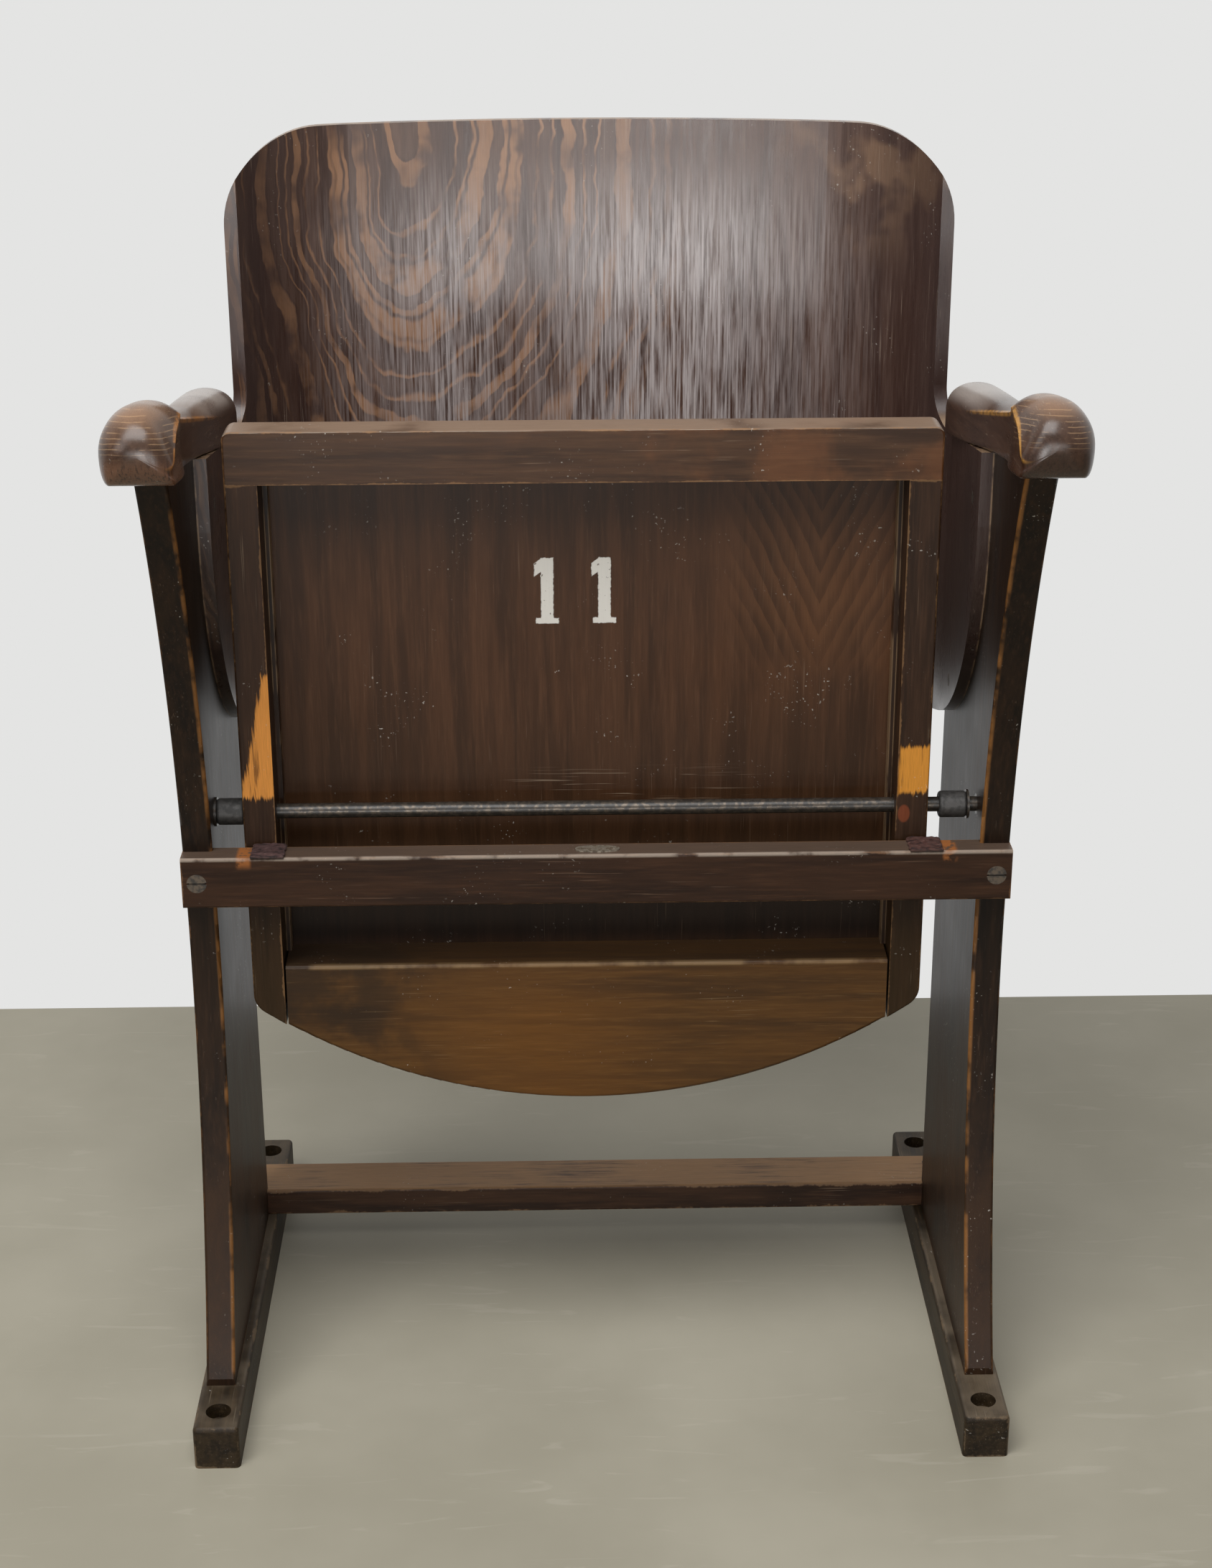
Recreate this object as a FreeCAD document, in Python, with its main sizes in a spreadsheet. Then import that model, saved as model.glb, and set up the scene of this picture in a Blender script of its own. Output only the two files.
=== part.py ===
import FreeCAD, Part
import math
import os
import Sketcher

# A tip-up auditorium seat of stained beech and plywood, shown with its seat tipped up.
# Two side panels stand on floor runners and carry a moulded plywood back, two carved arms,
# a front rail and a steel axle. The seat frame turns on that axle and rests on the front rail:
# on leather pads behind the rail when it is up, and on top of the same pads when it is down.
# +Z is up, +X is to the right of someone facing the seat, and -Y is the front.
# The origin is on the floor, in the middle of the four floor fixings.

SIZES = {
    "panel_thickness": (20, "side panel"),
    "panel_foot_setback": (33.2, "runner's front end to where the panel's front curve reaches the floor"),
    "panel_toe_setback": (50.3, "runner's front end to the panel's blunted toe on the runner"),
    "panel_brow_cut": (2.2, "blunted corner at the panel's head, under the arm"),
    "panel_head_setback": (18, "the same at the head"),
    "panel_rear_setback": (282, "runner's front end to the panel's rear edge"),
    "panel_front_radius": (750, "hollow curve of the panel's front edge"),
    "panel_head_height": (690, "panel's front top corner above the floor"),
    "panel_rear_height": (653, "panel's rear top corner above the floor"),
    "panel_edge_radius": (2, "worn edges of the side panels"),
    "runner_length": (396.6, "floor runner"),
    "runner_width": (31.4, "floor runner"),
    "runner_height": (32.2, "floor runner"),
    "runner_overhang": (4, "runner beyond the panel's outer face"),
    "runner_edge_radius": (3.5, "worn edges of the runners"),
    "floor_hole_inset": (20.3, "floor fixing from the runner's end"),
    "floor_hole_radius": (3.5, "floor fixing"),
    "floor_sink_radius": (8.7, "counterbore of a floor fixing"),
    "floor_sink_depth": (11, "counterbore of a floor fixing"),
    "stretcher_height": (21.5, "foot stretcher"),
    "stretcher_depth": (42.2, "foot stretcher"),
    "stretcher_housing": (5.5, "how far the panels are notched for the stretcher"),
    "stretcher_edge_radius": (2, "worn edges of the stretcher"),
    "rail_setback": (92.5, "runner's front end to the rail's front face"),
    "rail_bottom": (378.2, "front rail's lower face above the floor"),
    "rail_height": (35.5, "front rail"),
    "rail_depth": (19, "front rail"),
    "rail_edge_radius": (1.6, "worn edges of the front rail"),
    "pad_width": (22, "leather pad"),
    "pad_thickness": (3.3, "leather pad"),
    "pad_drop": (24, "leather pad behind the rail"),
    "pad_margin": (0.8, "leather pad's outer end beyond half the seat's width"),
    "stop_gap": (0.3, "slack between the seat and its pads at either stop"),
    "plate_length": (29.5, "blank oval plate on the rail"),
    "plate_width": (10.5, "blank oval plate on the rail"),
    "plate_thickness": (0.8, "blank oval plate on the rail"),
    "plate_pin_radius": (0.9, "pins of the oval plate"),
    "axle_radius": (5, "steel axle rod"),
    "axle_to_underside": (14.9, "axle's centre line to the underside of the seat frame"),
    "axle_entry": (12, "axle's length inside each panel"),
    "running_gap": (0.05, "radial gap of a sliding fit"),
    "bush_radius": (7, "steel bush"),
    "panel_bush_length": (14, "bush in the panel"),
    "sleeve_radius": (9, "spacer sleeve"),
    "sleeve_length": (18.5, "spacer sleeve"),
    "sleeve_edge_radius": (2, "rounded ends of the spacer sleeve"),
    "washer_radius": (9.8, "thrust washer"),
    "washer_thickness": (1.5, "thrust washer"),
    "right_washer_gap": (5.5, "bare axle between the right washer and its panel"),
    "side_play": (0.2, "slack between the left sleeve and the seat"),
    "right_sleeve_gap": (8.9, "bare axle between the seat and the right sleeve"),
    "seat_width": (455.4, "over the outer faces of the stiles"),
    "stile_width": (21.3, "seat stile"),
    "seat_frame_depth": (36, "stiles, underside to seat panel"),
    "seat_panel_thickness": (6, "plywood of the seat"),
    "seat_front_reach": (262.1, "axle to the nose of the seat"),
    "nose_rail_height": (34.3, "nose rail, front to back of the seat"),
    "nose_round_radius": (17, "rounded top front edge of the seat"),
    "nose_corner_radius": (6, "rounded front corners of the seat"),
    "rear_board_start": (108.5, "axle to the rear board's straight edge"),
    "seat_side_reach": (152.6, "axle to the joint of stile and rear board on the curved edge"),
    "seat_rear_reach": (212.4, "axle to the middle of the curved rear edge"),
    "rear_board_gap": (1.3, "shrinkage gap between the rear board and each stile"),
    "rear_board_recess": (1.2, "rear board behind the stiles' underside"),
    "seat_corner_radius": (16, "rear corners of the seat"),
    "seat_edge_radius": (1.5, "worn edges of the seat frame"),
    "board_edge_radius": (2.5, "worn edges of the rear board"),
    "cleat_width": (3.2, "glued cleat inside the seat frame"),
    "cleat_depth": (10, "glued cleat inside the seat frame"),
    "back_thickness": (8.5, "plywood of the back"),
    "back_bottom": (445, "lower edge of the back above the floor"),
    "back_top": (852, "upper edge of the back above the floor"),
    "back_bend_setback": (251, "runner's front end to where the wings start to bend"),
    "back_bend_radius": (115, "outside of the bends beside the panels"),
    "back_curve_radius": (680, "outside of the wide curve of the back"),
    "back_corner_radius": (60, "upper corners of the back"),
    "back_neck_setback": (292, "runner's front end to the upright side edges above the arms"),
    "back_neck_radius": (26, "hollow corner between wing and side edge"),
    "wing_setback": (130, "runner's front end to the wing's front edge"),
    "wing_corner_radius": (180, "wing's lower front corner"),
    "wing_clearance": (0.6, "wing's upper edge below the arm"),
    "back_edge_radius": (1.5, "rounded edges of the back"),
    "arm_nose_reach": (22, "arm's nose in front of the runner"),
    "arm_rear_setback": (257, "runner's front end to the arm's rear end"),
    "arm_nose_inner": (10, "arm's nose inward of the panel"),
    "arm_nose_outer": (15, "arm's nose outward of the panel"),
    "arm_waist_inner": (4, "arm's waist inward of the panel"),
    "arm_waist_outer": (6, "arm's waist outward of the panel"),
    "arm_knob_inner": (15, "arm's rear knob inward of the panel"),
    "arm_knob_outer": (6.5, "arm's rear knob outward of the panel"),
    "arm_nose_height": (47, "arm's nose above the panel"),
    "arm_waist_height": (35, "arm's waist above the panel"),
    "arm_knob_height": (37, "arm's rear knob above the panel"),
    "dowel_radius": (4, "wooden dowels"),
    "arm_dowel_length": (36, "dowels of the arms"),
    "nose_dowel_length": (40, "dowels of the nose rail"),
    "dowel_clearance": (3.4, "from a nose dowel's end to the middle of the seat panel's front screw"),
    "fit_gap": (0.05, "radial gap round dowels and screws"),
    "rail_screw_head": (6.6, "head radius of the rail's screws"),
    "rail_screw_shank": (2.75, "shank radius of the rail's screws"),
    "rail_screw_length": (45, "rail's screws"),
    "wood_screw_head": (4.6, "head radius of the other screws"),
    "wood_screw_shank": (2, "shank radius of the other screws"),
    "runner_screw_length": (62, "screws that hold the panels on the runners"),
    "stretcher_screw_length": (40, "screws that hold the stretcher on the runners"),
    "back_screw_length": (22, "screws of the back"),
    "board_screw_length": (45, "screws of the rear board"),
    "panel_screw_length": (24, "screws of the seat panel"),
    "screw_recess": (1.2, "heads under the runners, clear of the floor"),
    "slot_width": (1.1, "slot of a screw head"),
    "slot_depth": (1.2, "slot of a screw head"),
}


class Size:
    """A length from the sheet, or worked out from it: its number and the expression behind it."""

    def __init__(self, value, text):
        self.value = value
        self.text = text

    def join(self, other, sign, value):
        return Size(value, f"({self.text} {sign} {size(other).text})")

    def __add__(self, other):
        return self.join(other, "+", self.value + size(other).value)

    def __sub__(self, other):
        return self.join(other, "-", self.value - size(other).value)

    def __mul__(self, other):
        return self.join(other, "*", self.value * size(other).value)

    def __truediv__(self, other):
        return self.join(other, "/", self.value / size(other).value)

    def __radd__(self, other):
        return size(other) + self

    def __rsub__(self, other):
        return size(other) - self

    def __rmul__(self, other):
        return size(other) * self

    def __neg__(self):
        return size(0) - self


def size(number):
    return number if isinstance(number, Size) else Size(float(number), repr(float(number)))


def root(square):
    return Size(math.sqrt(square.value), f"sqrt({square.text})")


def bow_radius(chord, rise):
    """Radius of the arc that rises by this much over a chord."""
    return (chord * chord / 4 + rise * rise) / (2 * rise)


doc = FreeCAD.newDocument("tip_up_seat")
sheet = doc.addObject("Spreadsheet::Sheet", "Sizes")
for row, (alias, (number, meaning)) in enumerate(SIZES.items(), start=1):
    sheet.set(f"A{row}", alias)
    sheet.set(f"B{row}", str(number))
    sheet.setAlias(f"B{row}", alias)
    sheet.set(f"C{row}", meaning)
doc.recompute()


class Driving:
    """The driving dimensions by name."""


for alias, (number, meaning) in SIZES.items():
    setattr(Driving, alias, Size(float(number), f"Sizes.{alias}"))
D = Driving

pieces = []


def piece(item, label):
    """Keeps a finished sub-part under the name of its file."""
    item.Label = label
    pieces.append(item)
    return item


def bind(item, **sizes):
    """Sets properties of an object from sizes. Two underscores stand for a dot."""
    for name, amount in sizes.items():
        item.setExpression(name.replace("__", "."), size(amount).text)


def place(item, point, turn=None):
    """Puts an object at a point made of sizes, turned by a fixed rotation."""
    at = [size(part) for part in point]
    item.Placement = FreeCAD.Placement(FreeCAD.Vector(*[part.value for part in at]), turn or UPRIGHT)
    for letter, part in zip("xyz", at):
        item.setExpression(f"Placement.Base.{letter}", part.text)


UPRIGHT = FreeCAD.Rotation()
TOWARDS = {
    "+Z": UPRIGHT,
    "-Z": FreeCAD.Rotation(FreeCAD.Vector(1, 0, 0), 180),
    "+Y": FreeCAD.Rotation(FreeCAD.Vector(1, 0, 0), -90),
    "-Y": FreeCAD.Rotation(FreeCAD.Vector(1, 0, 0), 90),
    "+X": FreeCAD.Rotation(FreeCAD.Vector(0, 1, 0), 90),
    "-X": FreeCAD.Rotation(FreeCAD.Vector(0, 1, 0), -90),
}


def body(name):
    return doc.addObject("PartDesign::Body", name)


def outline(owner, name, plane, points, arcs=None, level=0):
    """A closed sketch through points made of sizes, on an origin plane of its body.

    arcs gives the radius of the stretch that starts at a point's number, and the side it
    bulges to: 1 to the left of the way the outline runs, -1 to the right."""
    arcs = arcs or {}
    sketch = owner.newObject("Sketcher::SketchObject", name)
    support = [item for item in owner.Origin.OriginFeatures if item.Role == plane][0]
    sketch.AttachmentSupport = [(support, "")]
    sketch.MapMode = "FlatFace"
    sketch.setExpression("AttachmentOffset.Base.z", size(level).text)
    points = [(size(across), size(up)) for across, up in points]
    corners = [FreeCAD.Vector(across.value, up.value, 0) for across, up in points]
    ends = []
    for number, start in enumerate(corners):
        finish = corners[(number + 1) % len(corners)]
        if number in arcs:
            radius, side = arcs[number]
            ends.append(add_arc(sketch, start, finish, size(radius), side))
        else:
            sketch.addGeometry(Part.LineSegment(start, finish))
            ends.append((1, 2))
    for number, (first, last) in enumerate(ends):
        following = (number + 1) % len(ends)
        sketch.addConstraint(Sketcher.Constraint("Coincident", number, last, following, ends[following][0]))
    for number, (across, up) in enumerate(points):
        for kind, amount in (("DistanceX", across), ("DistanceY", up)):
            bound(sketch, f"{kind}{number}", kind, (-1, 1, number, ends[number][0]), amount)
    for number, (radius, side) in arcs.items():
        bound(sketch, f"Radius{number}", "Radius", (number,), size(radius))
    return sketch


def bound(sketch, name, kind, where, amount):
    index = sketch.addConstraint(Sketcher.Constraint(kind, *where, amount.value))
    sketch.renameConstraint(index, name)
    sketch.setExpression(f"Constraints.{name}", amount.text)


def add_arc(sketch, start, finish, radius, side):
    """Adds an arc between two points, and says which of its ends is the first one."""
    chord = finish - start
    left = FreeCAD.Vector(-chord.y, chord.x, 0).normalize() * side
    middle = (start + finish) / 2 - left * math.sqrt(radius.value ** 2 - chord.Length ** 2 / 4)
    first, last = (start, finish) if side < 0 else (finish, start)
    angles = [math.atan2(point.y - middle.y, point.x - middle.x) for point in (first, last)]
    circle = Part.Circle(middle, FreeCAD.Vector(0, 0, 1), radius.value)
    sketch.addGeometry(Part.ArcOfCircle(circle, angles[0], angles[1]))
    return (1, 2) if side < 0 else (2, 1)


def pad(owner, sketch, length, symmetric=False, reverse=False):
    feature = owner.newObject("PartDesign::Pad", f"{sketch.Name}_pad")
    feature.Profile = sketch
    feature.SideType = "Symmetric" if symmetric else "One side"
    feature.Reversed = reverse
    bind(feature, Length=length)
    doc.recompute()
    return feature


def pocket(owner, sketch):
    """Cuts a sketch right through its body, both ways."""
    before = owner.Shape.Volume
    feature = owner.newObject("PartDesign::Pocket", f"{sketch.Name}_cut")
    feature.Profile = sketch
    feature.SideType = "Symmetric"
    feature.Type = "ThroughAll"
    doc.recompute()
    assert owner.Shape.Volume < before, f"{feature.Name} cuts nothing"
    return feature


def soften(owner, feature, radius, wanted, name="rounding"):
    """Rounds the edges of a feature that a test picks."""
    numbers = [number for number, edge in enumerate(feature.Shape.Edges, start=1) if wanted(edge)]
    assert numbers, f"{owner.Name}: no edge to round"
    rounding = owner.newObject("PartDesign::Fillet", f"{owner.Name}_{name}")
    rounding.Base = (feature, [f"Edge{number}" for number in numbers])
    bind(rounding, Radius=radius)
    doc.recompute()
    return rounding


def span(edge, letter):
    """Length of an edge's box along one axis."""
    return getattr(edge.BoundBox, f"{letter}Length")


def runs_along(letter):
    """Picks the straight edges along one axis."""
    others = [other for other in "XYZ" if other != letter]
    return lambda edge: span(edge, letter) > 0.5 and all(span(edge, other) < 1e-6 for other in others)


def rod(name, radius, length, start, way):
    """A cylinder from a point, towards an axis."""
    item = doc.addObject("Part::Cylinder", name)
    bind(item, Radius=radius, Height=length)
    place(item, start, TOWARDS[way])
    return item


def block(name, low, high):
    """A box between two corners made of sizes."""
    item = doc.addObject("Part::Box", name)
    extent = [size(top) - bottom for bottom, top in zip(low, high)]
    bind(item, Length=extent[0], Width=extent[1], Height=extent[2])
    place(item, low)
    return item


def group(name, items):
    """Several solids in one sub-part."""
    item = doc.addObject("Part::Compound", name)
    item.Links = items
    return item


def cut(name, base, tools):
    item = doc.addObject("Part::Cut", name)
    item.Base = base
    item.Tool = tools[0] if len(tools) == 1 else group(f"{name}_tools", tools)
    return item


SINK_ANGLE_SHARE = 0.85


def sunk_form(name, head, shank, length, start, way, gap=0):
    """A countersunk screw without its slot. With a gap round its shank it is the hole for one."""
    cone = doc.addObject("Part::Cone", f"{name}_head")
    bind(cone, Radius1=head, Radius2=size(shank) + gap, Height=(head - shank) * SINK_ANGLE_SHARE)
    place(cone, start, TOWARDS[way])
    stem = rod(f"{name}_stem", size(shank) + gap, length + gap, start, way)
    item = doc.addObject("Part::Fuse", name)
    item.Base = cone
    item.Tool = stem
    return item


def along(way, amount):
    """A step towards an axis."""
    sign = 1 if way[0] == "+" else -1
    return [amount * sign if letter == way[1] else size(0) for letter in "XYZ"]


def shifted(point, step):
    return [size(part) + more for part, more in zip(point, step)]


def screw_and_hole(name, head, shank, length, start, way, slot_along, recess=None):
    """A slotted screw, and the hole that takes it, deeper by a recess."""
    form = sunk_form(f"{name}_form", head, shank, length, start, way)
    half = {way[1]: D.slot_depth, slot_along: head * 1.1}
    low = []
    high = []
    for letter, part in zip("XYZ", start):
        reach = half.get(letter, D.slot_width / 2)
        low.append(size(part) - reach)
        high.append(size(part) + reach)
    slot = block(f"{name}_slot", low, high)
    hole = sunk_form(f"{name}_hole", head, shank, length, start, way, gap=D.fit_gap)
    if recess:
        mouth = rod(f"{name}_mouth", head, recess, shifted(start, along(way, -recess)), way)
        sunk = doc.addObject("Part::Fuse", f"{name}_sunk_hole")
        sunk.Base = hole
        sunk.Tool = mouth
        hole = sunk
    return cut(name, form, [slot]), hole


# Places that several pieces share

front_end = -D.runner_length / 2
rear_end = D.runner_length / 2
left_stack = D.washer_thickness + D.sleeve_length + D.side_play
right_stack = D.right_sleeve_gap + D.sleeve_length + D.washer_thickness + D.right_washer_gap
panel_inner = (left_stack + D.seat_width + right_stack) / 2
panel_outer = panel_inner + D.panel_thickness
panel_middle = panel_outer - D.panel_thickness / 2
panel_rear = front_end + D.panel_rear_setback
panel_head = front_end + D.panel_head_setback
panel_slope = (D.panel_head_height - D.panel_rear_height) / (D.panel_rear_setback - D.panel_head_setback)
runner_outer = panel_outer + D.runner_overhang
runner_middle = runner_outer - D.runner_width / 2
stretcher_top = D.runner_height + D.stretcher_height
stretcher_front = panel_rear - D.stretcher_housing
rail_front = front_end + D.rail_setback
rail_rear = rail_front + D.rail_depth
rail_top = D.rail_bottom + D.rail_height
pad_top = rail_top + D.pad_thickness
axle_height = pad_top + D.stop_gap + D.axle_to_underside
axle_depth = rail_rear + D.pad_thickness + D.stop_gap + D.axle_to_underside
seat_under = axle_depth - D.axle_to_underside
seat_face = seat_under + D.seat_frame_depth
seat_top_face = seat_face + D.seat_panel_thickness
seat_middle = left_stack - panel_inner + D.seat_width / 2
stile_inner = D.seat_width / 2 - D.stile_width
wing_inner = panel_inner - D.back_thickness
back_bend = front_end + D.back_bend_setback


def arm_under(depth):
    """Height of the arm's underside, which is the panel's sloping top edge."""
    return D.panel_head_height - (depth - panel_head) * panel_slope


def side_panel(side, name, holes):
    """A side panel: hollow front edge, housed for the front rail and for the foot stretcher."""
    blank = body(f"{name}_blank")
    foot = front_end + D.panel_foot_setback
    toe = front_end + D.panel_toe_setback
    sketch = outline(
        blank,
        f"{name}_outline",
        "YZ_Plane",
        [(foot, 0), (panel_rear, 0), (panel_rear, D.panel_rear_height), (panel_head, D.panel_head_height)],
        arcs={3: (D.panel_front_radius, 1)},
        level=panel_middle * side - D.panel_thickness / 2,
    )
    board = pad(blank, sketch, D.panel_thickness)
    long_edge = D.rail_height.value * 2
    soften(
        blank,
        board,
        D.panel_edge_radius,
        lambda edge: span(edge, "X") < 1e-6 and span(edge, "Z") > long_edge,
    )
    pocket(
        blank,
        outline(
            blank,
            f"{name}_foot_line",
            "YZ_Plane",
            [
                (front_end, -D.runner_height),
                (rear_end, -D.runner_height),
                (rear_end, stretcher_top),
                (stretcher_front, stretcher_top),
                (stretcher_front, D.runner_height),
                (toe, D.runner_height),
                (toe, stretcher_top),
                (front_end, stretcher_top),
            ],
        ),
    )
    brow = panel_head + D.panel_brow_cut
    brow_foot = D.panel_head_height - D.panel_brow_cut * 4
    pocket(
        blank,
        outline(
            blank,
            f"{name}_brow",
            "YZ_Plane",
            [
                (front_end, brow_foot),
                (brow, brow_foot),
                (brow, D.panel_head_height),
                (front_end, D.panel_head_height),
            ],
        ),
    )
    pocket(
        blank,
        outline(
            blank,
            f"{name}_rail_housing",
            "YZ_Plane",
            [
                (rail_front, D.rail_bottom),
                (rail_rear, D.rail_bottom),
                (rail_rear, rail_top),
                (rail_front, rail_top),
            ],
        ),
    )
    piece(cut(name, blank, holes), name)
    return blank


def foot_runner(side, name, holes):
    """A floor runner with two counterbored floor fixings."""
    blank = body(f"{name}_blank")
    middle = runner_middle * side
    half = D.runner_width / 2
    sketch = outline(
        blank,
        f"{name}_outline",
        "XY_Plane",
        [
            (middle - half, front_end),
            (middle + half, front_end),
            (middle + half, rear_end),
            (middle - half, rear_end),
        ],
    )
    bar = pad(blank, sketch, D.runner_height)
    top = D.runner_height.value
    soften(
        blank,
        bar,
        D.runner_edge_radius,
        lambda edge: edge.BoundBox.ZMin > top - 1e-6 or runs_along("Z")(edge),
    )
    tools = list(holes)
    for end, depth in (("front", front_end + D.floor_hole_inset), ("rear", rear_end - D.floor_hole_inset)):
        sink_floor = D.runner_height - D.floor_sink_depth
        shaft = rod(f"{name}_{end}_bolt_hole", D.floor_hole_radius, D.runner_height, (middle, depth, 0), "+Z")
        sink = rod(
            f"{name}_{end}_sink", D.floor_sink_radius, D.floor_sink_depth, (middle, depth, sink_floor), "+Z"
        )
        both = doc.addObject("Part::Fuse", f"{name}_{end}_fixing")
        both.Base = shaft
        both.Tool = sink
        tools.append(both)
    piece(cut(name, blank, tools), name)


def long_bar(name, low, high, edge_radius, holes, keep=None):
    """A bar across the frame with its long edges and ends rounded over."""
    blank = body(f"{name}_blank")
    (left, front, bottom), (right, rear, top) = low, high
    sketch = outline(
        blank,
        f"{name}_outline",
        "YZ_Plane",
        [(front, bottom), (rear, bottom), (rear, top), (front, top)],
        level=left,
    )
    bar = pad(blank, sketch, size(right) - left)
    soften(blank, bar, edge_radius, keep or runs_along("X"))
    return piece(cut(name, blank, holes) if holes else blank, name)


def arm(side, name, panel, holes):
    """A carved arm: a loft through upright sections from its nose to its rear knob, cut to fit its panel."""
    blank = body(f"{name}_blank")
    nose = (panel_inner - D.arm_nose_inner, panel_outer + D.arm_nose_outer, D.arm_nose_height)
    waist = (panel_inner - D.arm_waist_inner, panel_outer + D.arm_waist_outer, D.arm_waist_height)
    knob = (panel_inner - D.arm_knob_inner, panel_outer + D.arm_knob_outer, D.arm_knob_height)
    length = D.arm_nose_reach + D.arm_rear_setback
    # share of the arm's length, which form, how much of its width and height, and its lift
    stations = [
        (0.0, nose, 0.62, 0.45, 0.14),
        (0.03, nose, 0.90, 0.78, 0.01),
        (0.085, nose, 1.0, 0.94, 0),
        (0.17, nose, 0.98, 1.0, 0),
        (0.30, nose, 0.86, 0.93, 0),
        (0.45, waist, 1.0, 1.04, 0),
        (0.62, waist, 1.0, 0.97, 0),
        (0.78, knob, 0.90, 0.96, 0),
        (0.90, knob, 1.0, 1.0, 0),
        (0.965, knob, 0.90, 0.84, 0.02),
        (1.0, knob, 0.56, 0.46, 0.14),
    ]
    sections = []
    for number, (share, (inner, outer, height), wide, tall, lift) in enumerate(stations):
        depth = front_end - D.arm_nose_reach + length * share
        middle = (inner + outer) / 2 * side
        width = (outer - inner) * wide
        foot = arm_under(depth) + height * lift
        rise = height * tall
        half_foot = width * 0.36
        half_top = width * 0.41
        shoulder = foot + rise * 0.72
        flank = width * 0.13
        flank_chord = root((half_top - half_foot) * (half_top - half_foot) + rise * rise * 0.72 * 0.72)
        sections.append(
            outline(
                blank,
                f"{name}_section_{number}",
                "XZ_Plane",
                [
                    (middle - half_foot, foot),
                    (middle + half_foot, foot),
                    (middle + half_top, shoulder),
                    (middle - half_top, shoulder),
                ],
                arcs={
                    1: (bow_radius(flank_chord, flank), -1),
                    2: (bow_radius(half_top * 2, rise * 0.28), -1),
                    3: (bow_radius(flank_chord, flank), -1),
                },
                level=-depth,
            )
        )
    loft = blank.newObject("PartDesign::AdditiveLoft", f"{name}_loft")
    loft.Profile = sections[0]
    loft.Sections = sections[1:]
    doc.recompute()
    piece(cut(name, blank, [panel, *holes]), name)


def backrest(holes):
    """The moulded back: a U in plan, whose wings lie on the panels' inner faces."""
    blank = body("backrest_blank")
    skin = D.back_thickness
    bend_middle = panel_inner - D.back_bend_radius
    between = D.back_curve_radius - D.back_bend_radius
    drop = root(between * between - bend_middle * bend_middle)
    curve_middle = back_bend - drop

    def joint(radius):
        return bend_middle * radius / between, curve_middle + drop * radius / between

    outer_x, outer_y = joint(D.back_curve_radius)
    inner_x, inner_y = joint(D.back_curve_radius - skin)
    wing_front = front_end + D.wing_setback
    bend = D.back_bend_radius
    curve = D.back_curve_radius
    sketch = outline(
        blank,
        "backrest_plan",
        "XY_Plane",
        [
            (-panel_inner, wing_front),
            (-wing_inner, wing_front),
            (-wing_inner, back_bend),
            (-inner_x, inner_y),
            (inner_x, inner_y),
            (wing_inner, back_bend),
            (wing_inner, wing_front),
            (panel_inner, wing_front),
            (panel_inner, back_bend),
            (outer_x, outer_y),
            (-outer_x, outer_y),
            (-panel_inner, back_bend),
        ],
        arcs={
            2: (bend - skin, 1),
            3: (curve - skin, 1),
            4: (bend - skin, 1),
            8: (bend, -1),
            9: (curve, -1),
            10: (bend, -1),
        },
        level=D.back_bottom,
    )
    pad(blank, sketch, D.back_top - D.back_bottom)
    margin = 14
    neck = front_end + D.back_neck_setback
    wing_top = arm_under(wing_front) - D.wing_clearance
    neck_foot = arm_under(neck - D.back_neck_radius) - D.wing_clearance
    pocket(
        blank,
        outline(
            blank,
            "backrest_neck",
            "YZ_Plane",
            [
                (wing_front - margin, wing_top + panel_slope * margin),
                (neck - D.back_neck_radius, neck_foot),
                (neck, neck_foot + D.back_neck_radius),
                (neck, D.back_top + margin),
                (wing_front - margin, D.back_top + margin),
            ],
            arcs={1: (D.back_neck_radius * 1.02, -1)},
        ),
    )
    corner = D.wing_corner_radius
    pocket(
        blank,
        outline(
            blank,
            "backrest_wing_corner",
            "YZ_Plane",
            [
                (wing_front - margin, D.back_bottom - margin),
                (wing_front + corner, D.back_bottom - margin),
                (wing_front + corner, D.back_bottom),
                (wing_front, D.back_bottom + corner),
                (wing_front - margin, D.back_bottom + corner),
            ],
            arcs={2: (corner, 1)},
        ),
    )
    rounding = D.back_corner_radius
    reach = root(bend * bend - (neck - back_bend) * (neck - back_bend)) + bend_middle
    for side, hand in ((-1, "left"), (1, "right")):
        edge = reach * side
        pocket(
            blank,
            outline(
                blank,
                f"backrest_{hand}_corner",
                "XZ_Plane",
                [
                    (edge, D.back_top - rounding),
                    (edge - rounding * side, D.back_top),
                    (edge - rounding * side, D.back_top + margin),
                    (edge + margin * side, D.back_top + margin),
                    (edge + margin * side, D.back_top - rounding),
                ],
                arcs={0: (rounding, -side)},
            ),
        )
    piece(cut("backrest_shell", blank, holes), "backrest_shell")


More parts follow.
